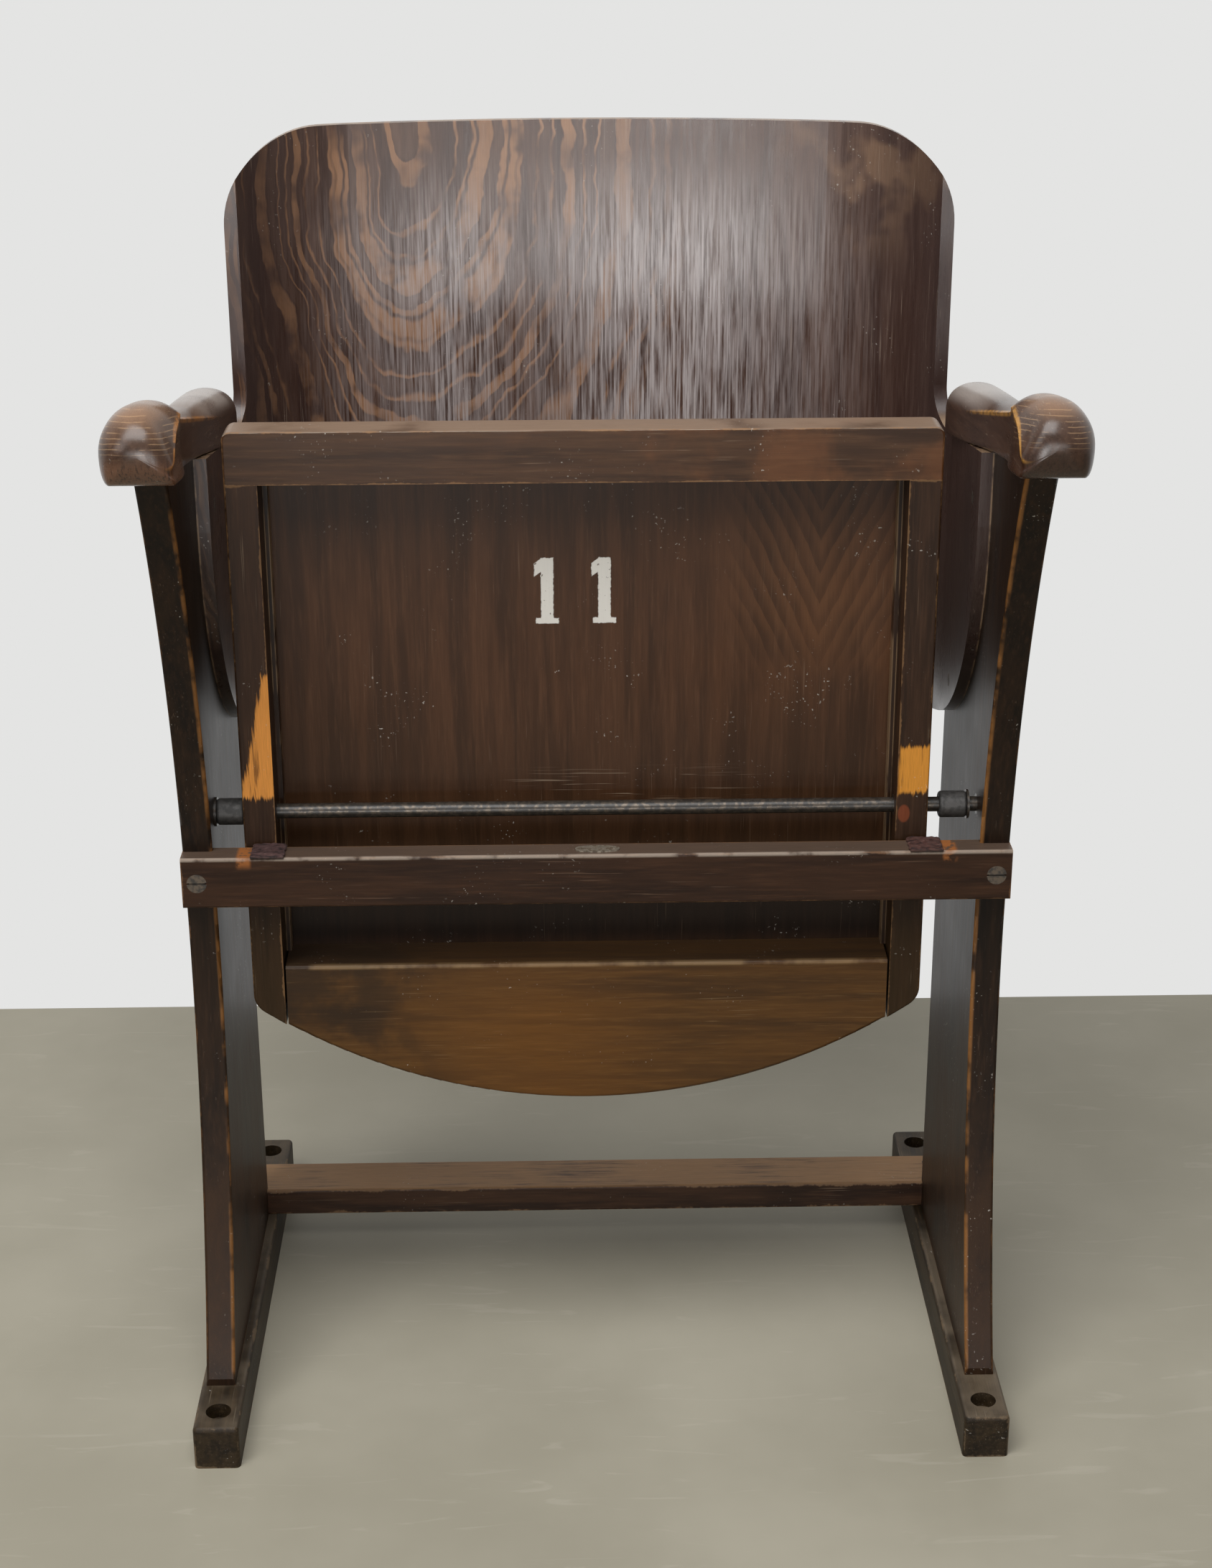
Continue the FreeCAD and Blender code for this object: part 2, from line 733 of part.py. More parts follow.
def nose_rail(holes):
    """The front rail of the seat, rounded over where the knees bend."""
    blank = body("seat_nose_rail_blank")
    low = axle_height + D.seat_front_reach - D.nose_rail_height
    high = axle_height + D.seat_front_reach
    sketch = outline(
        blank,
        "seat_nose_rail_outline",
        "YZ_Plane",
        [(seat_under, low), (seat_top_face, low), (seat_top_face, high), (seat_under, high)],
        level=seat_middle - D.seat_width / 2,
    )
    bar = pad(blank, sketch, D.seat_width)
    top_rear = (seat_top_face.value, high.value)
    round_over = soften(
        blank,
        bar,
        D.nose_round_radius,
        lambda edge: runs_along("X")(edge)
        and abs(edge.CenterOfMass.y - top_rear[0]) < 1e-3
        and abs(edge.CenterOfMass.z - top_rear[1]) < 1e-3,
        "knee_rounding",
    )
    ends = soften(
        blank,
        round_over,
        D.nose_corner_radius,
        lambda edge: runs_along("Y")(edge) and edge.CenterOfMass.z > top_rear[1] - 1e-3,
        "end_rounding",
    )
    under = seat_under.value
    soften(
        blank,
        ends,
        D.seat_edge_radius,
        lambda edge: runs_along("X")(edge)
        and edge.CenterOfMass.y < under + 1e-3
        and edge.CenterOfMass.z > top_rear[1] - 1e-3,
        "lip_rounding",
    )
    piece(cut("seat_nose_rail", blank, holes), "seat_nose_rail")


rear_bow = bow_radius(stile_inner * 2, D.seat_rear_reach - D.seat_side_reach)


def rear_edge(across):
    """Height of the seat's curved rear edge at a distance from the seat's middle."""
    return axle_height - D.seat_rear_reach + rear_bow - root(rear_bow * rear_bow - across * across)


def seat_stile(side, name, holes):
    """A side member of the seat frame."""
    blank = body(f"{name}_blank")
    top = axle_height + D.seat_front_reach - D.nose_rail_height
    inner = seat_middle + stile_inner * side
    outer = seat_middle + D.seat_width / 2 * side
    sketch = outline(
        blank,
        f"{name}_outline",
        "XZ_Plane",
        [(inner, top), (outer, top), (outer, rear_edge(D.seat_width / 2)), (inner, rear_edge(stile_inner))],
        arcs={2: (rear_bow, side)},
        level=-seat_face,
    )
    bar = pad(blank, sketch, D.seat_frame_depth)
    corner_x = outer.value
    corner_z = rear_edge(D.seat_width / 2).value
    rounded = soften(
        blank,
        bar,
        D.seat_corner_radius,
        lambda edge: runs_along("Y")(edge)
        and abs(edge.CenterOfMass.x - corner_x) < 1e-3
        and abs(edge.CenterOfMass.z - corner_z) < 1e-3,
        "corner_rounding",
    )
    under = seat_under.value
    inner_x = inner.value
    soften(
        blank,
        rounded,
        D.seat_edge_radius,
        lambda edge: edge.BoundBox.YMax < under + 1e-3
        and edge.CenterOfMass.z < top.value - 1
        and abs(edge.CenterOfMass.x - inner_x) > 1e-3,
        "edge_rounding",
    )
    piece(cut(name, blank, holes), name)


def rear_board(holes):
    """The thick D-shaped board at the back of the seat."""
    blank = body("seat_rear_board_blank")
    top = axle_height - D.rear_board_start
    half = stile_inner - D.rear_board_gap
    left = seat_middle - half
    right = seat_middle + half
    sketch = outline(
        blank,
        "seat_rear_board_outline",
        "XZ_Plane",
        [(left, top), (right, top), (right, rear_edge(half)), (left, rear_edge(half))],
        arcs={2: (rear_bow, 1)},
        level=-seat_face,
    )
    board = pad(blank, sketch, D.seat_frame_depth - D.rear_board_recess)
    front = (seat_under + D.rear_board_recess).value
    soften(
        blank,
        board,
        D.board_edge_radius,
        lambda edge: edge.BoundBox.YMax < front + 1e-3 and not runs_along("Z")(edge),
    )
    piece(cut("seat_rear_board", blank, holes), "seat_rear_board")


def seat_panel(holes):
    """The plywood of the seat, on top of the stiles and the rear board."""
    blank = body("seat_panel_blank")
    top = axle_height + D.seat_front_reach - D.nose_rail_height
    half = D.seat_width / 2
    low = rear_edge(half)
    sketch = outline(
        blank,
        "seat_panel_outline",
        "XZ_Plane",
        [
            (seat_middle - half, top),
            (seat_middle + half, top),
            (seat_middle + half, low),
            (seat_middle - half, low),
        ],
        arcs={2: (rear_bow, 1)},
        level=-seat_top_face,
    )
    board = pad(blank, sketch, D.seat_panel_thickness)
    corner_z = low.value
    rounded = soften(
        blank,
        board,
        D.seat_corner_radius,
        lambda edge: runs_along("Y")(edge) and abs(edge.CenterOfMass.z - corner_z) < 1e-3,
        "corner_rounding",
    )
    rear = seat_top_face.value
    soften(
        blank,
        rounded,
        D.seat_edge_radius,
        lambda edge: edge.BoundBox.YMin > rear - 1e-3 and edge.CenterOfMass.z < top.value - 1,
        "edge_rounding",
    )
    piece(cut("seat_panel", blank, holes), "seat_panel")


def leather_pad(side, name):
    """A leather strip over the rail's top rear edge, under a stile."""
    outer = (D.seat_width / 2 + D.pad_margin) * side
    inner = outer - D.pad_width * side
    low, high = (inner, outer) if side > 0 else (outer, inner)
    strip = body(name)
    drop = D.pad_drop
    thick = D.pad_thickness
    sketch = outline(
        strip,
        f"{name}_outline",
        "YZ_Plane",
        [
            (rail_front, rail_top),
            (rail_rear, rail_top),
            (rail_rear, rail_top - drop),
            (rail_rear + thick, rail_top - drop),
            (rail_rear + thick, pad_top - thick / 2),
            (rail_rear + thick / 2, pad_top),
            (rail_front + thick / 2, pad_top),
            (rail_front, pad_top - thick / 2),
        ],
        arcs={4: (thick / 2, -1), 6: (thick / 2, 1)},
        level=low,
    )
    pad(strip, sketch, high - low)
    piece(strip, name)


def ring(name, outer, inner, length, start, way):
    """A bush, sleeve or washer."""
    solid = rod(f"{name}_outside", outer, length, start, way)
    bore = rod(f"{name}_bore", inner, length, start, way)
    return cut(name, solid, [bore])


def sleeve(side, name, start):
    """A spacer sleeve with rounded ends, turned about the axle."""
    turned = body(name)
    finish = start + D.sleeve_length
    bore = D.axle_radius + D.fit_gap
    rounding = D.sleeve_edge_radius
    rim = D.sleeve_radius
    sketch = outline(
        turned,
        f"{name}_profile",
        "XY_Plane",
        [
            (start, axle_depth + bore),
            (start, axle_depth + rim - rounding),
            (start + rounding, axle_depth + rim),
            (finish - rounding, axle_depth + rim),
            (finish, axle_depth + rim - rounding),
            (finish, axle_depth + bore),
        ],
        arcs={1: (rounding, 1), 3: (rounding, 1)},
        level=axle_height,
    )
    # the profile is turned about a line in its own sketch, along the axle
    line = sketch.addGeometry(
        Part.LineSegment(
            FreeCAD.Vector(start.value, axle_depth.value, 0),
            FreeCAD.Vector(finish.value, axle_depth.value, 0),
        ),
        True,
    )
    bound(sketch, "AxisStartX", "DistanceX", (-1, 1, line, 1), start)
    bound(sketch, "AxisStartY", "DistanceY", (-1, 1, line, 1), axle_depth)
    bound(sketch, "AxisEndX", "DistanceX", (-1, 1, line, 2), finish)
    bound(sketch, "AxisEndY", "DistanceY", (-1, 1, line, 2), axle_depth)
    turning = turned.newObject("PartDesign::Revolution", f"{name}_turning")
    turning.Profile = sketch
    turning.ReferenceAxis = (sketch, ["Axis0"])
    turning.Angle = 360
    doc.recompute()
    piece(turned, name)


def rail_fixings():
    """Two large slotted screws through the front rail into the panels' edges."""
    middle = D.rail_bottom + D.rail_height / 2
    screws = []
    holes = []
    for side, hand in ((-1, "left"), (1, "right")):
        screw, hole = screw_and_hole(
            f"{hand}_rail_screw",
            D.rail_screw_head,
            D.rail_screw_shank,
            D.rail_screw_length,
            (panel_middle * side, rail_front, middle),
            "+Y",
            "X",
        )
        screws.append(screw)
        holes.append(hole)
    piece(group("rail_screws", screws), "rail_screws")
    return holes


def foot_fixings():
    """Screws up through the runners into the panels, and down through the stretcher."""
    up_screws = []
    down_screws = []
    up_holes = {-1: [], 1: []}
    down_holes = {-1: [], 1: []}
    panel_foot = D.panel_rear_setback - D.panel_foot_setback
    for side, hand in ((-1, "left"), (1, "right")):
        for number, share in enumerate((0.14, 0.5, 0.86)):
            depth = front_end + D.panel_foot_setback + panel_foot * share
            screw, hole = screw_and_hole(
                f"{hand}_runner_screw_{number}",
                D.wood_screw_head,
                D.wood_screw_shank,
                D.runner_screw_length,
                (panel_middle * side, depth, D.screw_recess),
                "+Z",
                "Y",
                recess=D.screw_recess,
            )
            up_screws.append(screw)
            up_holes[side].append(hole)
        for number, share in enumerate((0.3, 0.72)):
            depth = stretcher_front + D.stretcher_depth * share
            screw, hole = screw_and_hole(
                f"{hand}_stretcher_screw_{number}",
                D.wood_screw_head,
                D.wood_screw_shank,
                D.stretcher_screw_length,
                (runner_middle * side, depth, stretcher_top),
                "-Z",
                "X",
            )
            down_screws.append(screw)
            down_holes[side].append(hole)
    piece(group("runner_screws", up_screws), "runner_screws")
    piece(group("stretcher_screws", down_screws), "stretcher_screws")
    return up_holes, down_holes


def back_fixings():
    """Two slotted screws through each wing into its panel."""
    screws = []
    holes = {-1: [], 1: []}
    corner = D.wing_corner_radius
    lower = (front_end + D.wing_setback + corner * 0.48, D.back_bottom + corner * 0.25)
    upper = (front_end + D.wing_setback + 26, D.back_bottom + D.wing_corner_radius + 12)
    for side, hand, way in ((-1, "left", "-X"), (1, "right", "+X")):
        for level, (depth, height) in (("lower", lower), ("upper", upper)):
            screw, hole = screw_and_hole(
                f"{hand}_{level}_back_screw",
                D.wood_screw_head,
                D.wood_screw_shank,
                D.back_screw_length,
                (wing_inner * side, depth, height),
                way,
                "Z",
            )
            screws.append(screw)
            holes[side].append(hole)
    piece(group("backrest_screws", screws), "backrest_screws")
    return holes


def arm_fixings():
    """Two dowels between each arm and its panel."""
    dowels = []
    holes = {-1: [], 1: []}
    depth_span = panel_rear - panel_head
    for side, hand in ((-1, "left"), (1, "right")):
        for number, share in enumerate((0.2, 0.76)):
            depth = panel_head + depth_span * share
            start = (panel_middle * side, depth, arm_under(depth) - D.arm_dowel_length / 2)
            name = f"{hand}_arm_dowel_{number}"
            dowels.append(rod(name, D.dowel_radius, D.arm_dowel_length, start, "+Z"))
            holes[side].append(
                rod(f"{name}_hole", D.dowel_radius + D.fit_gap, D.arm_dowel_length, start, "+Z")
            )
    piece(group("arm_dowels", dowels), "arm_dowels")
    return holes


def nose_fixings():
    """Two dowels at each joint of nose rail and stile."""
    dowels = []
    holes = {-1: [], 1: []}
    joint = axle_height + D.seat_front_reach - D.nose_rail_height
    for side, hand in ((-1, "left"), (1, "right")):
        across = seat_middle + (D.seat_width / 2 - D.stile_width / 2) * side
        for number, share in enumerate((0.28, 0.68)):
            start = (across, seat_under + D.seat_frame_depth * share, joint - D.nose_dowel_length / 2)
            name = f"{hand}_nose_dowel_{number}"
            dowels.append(rod(name, D.dowel_radius, D.nose_dowel_length, start, "+Z"))
            holes[side].append(
                rod(f"{name}_hole", D.dowel_radius + D.fit_gap, D.nose_dowel_length, start, "+Z")
            )
    piece(group("nose_dowels", dowels), "nose_dowels")
    return holes


def board_fixings():
    """Two screws through each stile into the rear board."""
    screws = []
    holes = {-1: [], 1: []}
    for side, hand, way in ((-1, "left", "+X"), (1, "right", "-X")):
        outer = seat_middle + D.seat_width / 2 * side
        top = axle_height - D.rear_board_start
        room = rear_edge(D.seat_width / 2) - top
        for number, drop in enumerate((0.35, 0.85)):
            screw, hole = screw_and_hole(
                f"{hand}_board_screw_{number}",
                D.wood_screw_head,
                D.wood_screw_shank,
                D.board_screw_length,
                (outer, seat_under + D.seat_frame_depth * 0.55, top + room * drop),
                way,
                "Z",
            )
            screws.append(screw)
            holes[side].append(hole)
    piece(group("rear_board_screws", screws), "rear_board_screws")
    return holes


def panel_fixings():
    """Screws from the top of the seat into the stiles and the rear board."""
    screws = []
    holes = {-1: [], 0: [], 1: []}
    stile = D.seat_width / 2 - D.stile_width / 2
    spots = []
    joint = D.seat_front_reach - D.nose_rail_height
    front_screw = joint - D.nose_dowel_length / 2 - D.dowel_clearance
    for height in (front_screw, D.seat_front_reach * 0.2, D.seat_front_reach * -0.34):
        for side in (-1, 1):
            spots.append((side, stile * side, height))
    for across in (-0.55, 0, 0.55):
        spots.append((0, stile_inner * across, (D.rear_board_start + D.seat_side_reach) / -2))
    for number, (owner, across, height) in enumerate(spots):
        screw, hole = screw_and_hole(
            f"seat_panel_screw_{number}",
            D.wood_screw_head,
            D.wood_screw_shank,
            D.panel_screw_length,
            (seat_middle + across, seat_top_face, axle_height + height),
            "-Y",
            "X",
        )
        screws.append(screw)
        holes[owner].append(hole)
    piece(group("seat_panel_screws", screws), "seat_panel_screws")
    return holes


def axle_parts():
    """The steel axle with its bushes, sleeves and washers, and the bores they need."""
    centre = (axle_depth, axle_height)
    length = (panel_inner + D.axle_entry) * 2
    piece(rod("axle_rod", D.axle_radius, length, (-panel_inner - D.axle_entry, *centre), "+X"), "axle_rod")
    bores = {}
    for side, hand, way in ((-1, "left", "-X"), (1, "right", "+X")):
        face = panel_inner * side
        bush = ring(
            f"{hand}_panel_bush",
            D.bush_radius,
            D.axle_radius + D.fit_gap,
            D.panel_bush_length,
            (face, *centre),
            way,
        )
        piece(bush, f"{hand}_panel_bush")
        bores[side] = rod(
            f"{hand}_panel_bore", D.bush_radius + D.fit_gap, D.panel_bush_length, (face, *centre), way
        )
    left_washer = -panel_inner
    right_washer = panel_inner - D.right_washer_gap - D.washer_thickness
    for hand, start in (("left", left_washer), ("right", right_washer)):
        washer = ring(
            f"{hand}_thrust_washer",
            D.washer_radius,
            D.axle_radius + D.fit_gap,
            D.washer_thickness,
            (start, *centre),
            "+X",
        )
        piece(washer, f"{hand}_thrust_washer")
    sleeve(-1, "left_spacer_sleeve", left_washer + D.washer_thickness)
    sleeve(1, "right_spacer_sleeve", right_washer - D.sleeve_length)
    stile_bores = {}
    for side, hand in ((-1, "left"), (1, "right")):
        low = seat_middle + (stile_inner if side > 0 else -D.seat_width / 2)
        bush = ring(
            f"{hand}_stile_bush",
            D.bush_radius,
            D.axle_radius + D.running_gap,
            D.stile_width,
            (low, *centre),
            "+X",
        )
        piece(bush, f"{hand}_stile_bush")
        stile_bores[side] = rod(
            f"{hand}_stile_bore", D.bush_radius + D.fit_gap, D.stile_width, (low, *centre), "+X"
        )
    return bores, stile_bores


def oval_plate():
    """A blank oval plate on top of the rail, held by two pins."""
    sketch_body = body("oval_plate_blank")
    middle = rail_front + D.rail_depth / 2
    half = D.plate_width / 2
    rise = half * 0.72
    end_bow = rise * 0.85
    straight = D.plate_length / 2 - end_bow
    sketch = outline(
        sketch_body,
        "oval_plate_outline",
        "XY_Plane",
        [
            (-straight, middle - rise),
            (straight, middle - rise),
            (straight, middle + rise),
            (-straight, middle + rise),
        ],
        arcs={
            0: (bow_radius(straight * 2, half - rise), -1),
            1: (bow_radius(rise * 2, end_bow), -1),
            2: (bow_radius(straight * 2, half - rise), -1),
            3: (bow_radius(rise * 2, end_bow), -1),
        },
        level=rail_top,
    )
    pad(sketch_body, sketch, D.plate_thickness)
    pins = []
    holes = []
    pin_length = D.plate_thickness * 8
    for side, hand in ((-1, "left"), (1, "right")):
        start = ((straight - half * 0.1) * side, middle, rail_top + D.plate_thickness * 1.4)
        name = f"{hand}_plate_pin"
        pins.append(rod(name, D.plate_pin_radius, pin_length, start, "-Z"))
        holes.append(rod(f"{name}_hole", D.plate_pin_radius + D.fit_gap, pin_length, start, "-Z"))
    piece(cut("oval_plate", sketch_body, holes), "oval_plate")
    piece(group("plate_pins", pins), "plate_pins")
    return holes


def cleats():
    """Thin glued cleats inside the seat frame, behind which the panel lies."""
    top = axle_height + D.seat_front_reach - D.nose_rail_height
    bottom = axle_height - D.rear_board_start
    front = seat_face - D.cleat_depth
    for side, hand in ((-1, "left"), (1, "right")):
        outer = seat_middle + stile_inner * side
        inner = outer - D.cleat_width * side
        low, high = (outer, inner) if side < 0 else (inner, outer)
        strip = block(f"{hand}_panel_cleat", (low, front, bottom), (high, seat_face, top))
        piece(strip, f"{hand}_panel_cleat")
    inside = stile_inner - D.cleat_width
    piece(
        block(
            "nose_cleat",
            (seat_middle - inside, front, top - D.cleat_width),
            (seat_middle + inside, seat_face, top),
        ),
        "nose_cleat",
    )


plate_holes = oval_plate()
rail_holes = rail_fixings()
runner_up, runner_down = foot_fixings()
back_holes = back_fixings()
arm_holes = arm_fixings()
nose_holes = nose_fixings()
board_holes = board_fixings()
panel_holes = panel_fixings()
panel_bores, stile_bores = axle_parts()

for hand_side, hand_name in ((-1, "left"), (1, "right")):
    rail_hole = rail_holes[0 if hand_side < 0 else 1]
    bores_here = [panel_bores[hand_side], rail_hole]
    panel_blank = side_panel(
        hand_side,
        f"{hand_name}_side_panel",
        bores_here + runner_up[hand_side] + back_holes[hand_side] + arm_holes[hand_side],
    )
    foot_runner(hand_side, f"{hand_name}_foot_runner", runner_up[hand_side] + runner_down[hand_side])
    arm(hand_side, f"{hand_name}_armrest", panel_blank, arm_holes[hand_side])
    seat_stile(
        hand_side,
        f"{hand_name}_seat_stile",
        [stile_bores[hand_side]] + nose_holes[hand_side] + board_holes[hand_side] + panel_holes[hand_side],
    )
    leather_pad(hand_side, f"{hand_name}_rail_pad")

long_bar(
    "foot_stretcher",
    (-panel_outer, stretcher_front, D.runner_height),
    (panel_outer, stretcher_front + D.stretcher_depth, stretcher_top),
    D.stretcher_edge_radius,
    runner_down[-1] + runner_down[1],
)
long_bar(
    "front_rail",
    (-panel_outer, rail_front, D.rail_bottom),
    (panel_outer, rail_rear, rail_top),
    D.rail_edge_radius,
    rail_holes + plate_holes,
    keep=lambda edge: runs_along("X")(edge) and edge.CenterOfMass.y < rail_front.value + 1e-3,
)
backrest(back_holes[-1] + back_holes[1])
nose_rail(nose_holes[-1] + nose_holes[1])
rear_board(board_holes[-1] + board_holes[1] + panel_holes[0])
seat_panel(panel_holes[-1] + panel_holes[0] + panel_holes[1])
cleats()

doc.recompute()
for item in doc.Objects:
    assert not {"Invalid", "Error"} & set(item.State), f"{item.Name} failed: {item.State}"
for item in pieces:
    assert not item.Shape.isNull() and item.Shape.isValid(), f"{item.Label} has no valid shape"
    assert item.Shape.Solids, f"{item.Label} holds no solid"

os.makedirs("parts", exist_ok=True)
for item in pieces:
    item.Shape.exportStep(f"parts/{item.Label}.step")
    box = item.Shape.BoundBox
    print(
        f"{item.Label:22s} {len(item.Shape.Solids)} solids  volume {item.Shape.Volume:11.0f}"
        f"  z {box.ZMin:7.1f} to {box.ZMax:7.1f}"
    )
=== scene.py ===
import math

import bmesh
import bpy
import numpy as np
from mathutils import Matrix, Vector


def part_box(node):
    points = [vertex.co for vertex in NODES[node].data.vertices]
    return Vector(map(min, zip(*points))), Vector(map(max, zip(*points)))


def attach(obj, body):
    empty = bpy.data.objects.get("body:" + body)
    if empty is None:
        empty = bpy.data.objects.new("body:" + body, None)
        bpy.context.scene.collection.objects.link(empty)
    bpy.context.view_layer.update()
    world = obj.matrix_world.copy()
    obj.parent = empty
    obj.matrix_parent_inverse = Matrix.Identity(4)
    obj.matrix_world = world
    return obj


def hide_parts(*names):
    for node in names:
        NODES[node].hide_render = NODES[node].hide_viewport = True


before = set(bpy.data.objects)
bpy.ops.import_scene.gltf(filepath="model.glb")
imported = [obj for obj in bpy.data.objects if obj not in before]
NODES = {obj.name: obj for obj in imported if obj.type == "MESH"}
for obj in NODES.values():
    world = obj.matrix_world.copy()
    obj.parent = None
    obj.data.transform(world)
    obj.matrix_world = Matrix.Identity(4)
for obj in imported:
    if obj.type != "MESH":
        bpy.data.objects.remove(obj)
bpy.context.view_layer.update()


def mm(number):
    """Millimetres as metres."""
    return number / 1000


def srgb(red, green, blue):
    """A colour as seen on a screen, 0 to 255, as the linear colour that a shader takes."""
    def linear(level):
        level = level / 255
        return level / 12.92 if level <= 0.04045 else ((level + 0.055) / 1.055) ** 2.4
    return (linear(red), linear(green), linear(blue), 1.0)


# Places read from the frame, in metres. Every piece that is modelled here rides the standing body

RAIL_LOW, RAIL_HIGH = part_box("front_rail")
PANEL_LOW, PANEL_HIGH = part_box("right_side_panel")
BOARD_LOW, BOARD_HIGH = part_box("seat_rear_board")
BACK_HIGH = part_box("backrest_shell")[1]
RUNNER_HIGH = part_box("right_foot_runner")[1]
STANDING_BODY = "frame"

# The arms' underside, in millimetres: it starts here behind the runner's front end, at this
# height above the floor, and falls toward the rear by this share of the depth
RUNNER_FRONT = -198.3
ARM_START = 18
ARM_FOOT = 690
ARM_FALL = 0.14015


# Shaders

class Link:
    """A number that varies over a surface. Arithmetic on it adds Math nodes."""

    def __init__(self, finish, socket):
        self.finish = finish
        self.socket = socket

    def math(self, operation, *values):
        return self.finish.node("ShaderNodeMath", {"operation": operation}, values)

    def __add__(self, other):
        return self.math("ADD", self, other)

    def __sub__(self, other):
        return self.math("SUBTRACT", self, other)

    def __mul__(self, other):
        return self.math("MULTIPLY", self, other)

    def __truediv__(self, other):
        return self.math("DIVIDE", self, other)

    def __pow__(self, other):
        return self.math("POWER", self, other)

    def __rsub__(self, other):
        return self.math("SUBTRACT", other, self)

    __radd__ = __add__
    __rmul__ = __mul__

    def __abs__(self):
        return self.math("ABSOLUTE", self)

    def at_least(self, other):
        return self.math("MAXIMUM", self, other)

    def at_most(self, other):
        return self.math("MINIMUM", self, other)

    def fraction(self):
        """The number's part after the decimal point."""
        return self.math("FRACT", self)

    def kept(self):
        """The number held between 0 and 1."""
        return self.finish.node("ShaderNodeClamp", {}, {"Value": self})

    def step(self, low, high):
        """0 below low, 1 above high, smooth between. With low above high it falls instead."""
        rising = low < high
        inputs = {"Value": self, "From Min": min(low, high), "From Max": max(low, high)}
        inputs.update({"To Min": 0 if rising else 1, "To Max": 1 if rising else 0})
        return self.finish.node("ShaderNodeMapRange", {"interpolation_type": "SMOOTHSTEP"}, inputs)


class Nodes:
    """The nodes of a material or of the world."""

    def __init__(self, tree):
        self.tree = tree

    def node(self, kind, settings, inputs, output=0):
        """Adds any node: its type, its settings, and the values or links of its sockets.

        The result is the link from one of its outputs, or the node itself if it has none.
        """
        made = self.tree.nodes.new(kind)
        for name, value in settings.items():
            setattr(made, name, value)
        pairs = inputs.items() if isinstance(inputs, dict) else enumerate(inputs)
        for name, value in pairs:
            self.feed(made.inputs[name], value)
        return Link(self, made.outputs[output]) if made.outputs else made

    def feed(self, socket, value):
        """Gives a socket a link or a plain value."""
        if isinstance(value, Link):
            self.tree.links.new(value.socket, socket)
        else:
            socket.default_value = value


class Finish(Nodes):
    """A material, built by naming what its surface does."""

    def __init__(self, name):
        self.material = bpy.data.materials.new(name)
        self.material.use_nodes = True
        super().__init__(self.material.node_tree)
        self.shader = self.tree.nodes["Principled BSDF"]
        self.place = self.node("ShaderNodeTexCoord", {}, {}, "Object")
        self.x, self.y, self.z = self.parts(self.place)
        facing = self.node("ShaderNodeTexCoord", {}, {}, "Normal")
        self.facing_x, self.facing_y, self.facing_z = self.parts(facing)

    def parts(self, vector):
        """The three numbers of a vector."""
        split = self.node("ShaderNodeSeparateXYZ", {}, {"Vector": vector}).socket.node
        return [Link(self, output) for output in split.outputs]

    def scaled(self, across, shift=(0, 0, 0)):
        """Object coordinates times a scale for each axis."""
        scaled = self.node("ShaderNodeVectorMath", {"operation": "MULTIPLY"}, [self.place, across])
        return self.node("ShaderNodeVectorMath", {"operation": "ADD"}, [scaled, shift])

    def joined(self, x, y, z):
        """A vector from three numbers."""
        return self.node("ShaderNodeCombineXYZ", {}, {"X": x, "Y": y, "Z": z})

    def noise(self, place, detail=3, roughness=0.55, distortion=0.0):
        """Noise whose patches are about 1 unit wide at a place."""
        inputs = {"Vector": place, "Scale": 1.0, "Detail": detail}
        inputs.update({"Roughness": roughness, "Distortion": distortion})
        return self.node("ShaderNodeTexNoise", {"noise_dimensions": "3D"}, inputs)

    def cloud(self, size, seed, detail=3):
        """Soft noise with patches of a size in metres."""
        scale = 1 / size
        return self.noise(self.scaled((scale, scale, scale), (seed, seed * 2, seed * 3)), detail)

    def mix(self, amount, low, high):
        """A colour between two."""
        return self.node("ShaderNodeMix", {"data_type": "RGBA"}, {0: amount, 6: low, 7: high}, 2)

    def tinted(self, colour, other):
        """Two colours multiplied."""
        settings = {"data_type": "RGBA", "blend_type": "MULTIPLY"}
        return self.node("ShaderNodeMix", settings, {0: 1.0, 6: colour, 7: other}, 2)

    def grey(self, level):
        """A number as a colour."""
        return self.joined(level, level, level)

    def raised(self, height, depth, strength):
        """A bump from a height between 0 and 1, with its depth in metres."""
        inputs = {"Height": height, "Distance": depth, "Strength": strength}
        return self.node("ShaderNodeBump", {}, inputs)

    def inside(self, value, low, high, soft):
        """1 where a number lies between two limits, with soft borders."""
        return value.step(low - soft, low + soft) * value.step(high + soft, high - soft)

    def set(self, **inputs):
        """Sets the shader's sockets. An underscore stands for a space."""
        for name, value in inputs.items():
            self.feed(self.shader.inputs[name.replace("_", " ")], value)
        return self.material


def dress(material, *names):
    """Puts a material on nodes of the model."""
    for name in names:
        item = NODES[name]
        item.data.materials.clear()
        item.data.materials.append(material)


# How finely the streaks, fibres, figure and scratches are drawn, for wood that runs along an axis
GRAIN = {
    "X": ((26, 420, 420), (60, 2100, 2100), (5, 70, 70), (16, 900, 900)),
    "Y": ((420, 26, 420), (2100, 60, 2100), (70, 5, 70), (900, 16, 900)),
    "Z": ((420, 420, 26), (2100, 2100, 60), (70, 70, 5), (900, 900, 16)),
}
DUST = srgb(200, 194, 184)


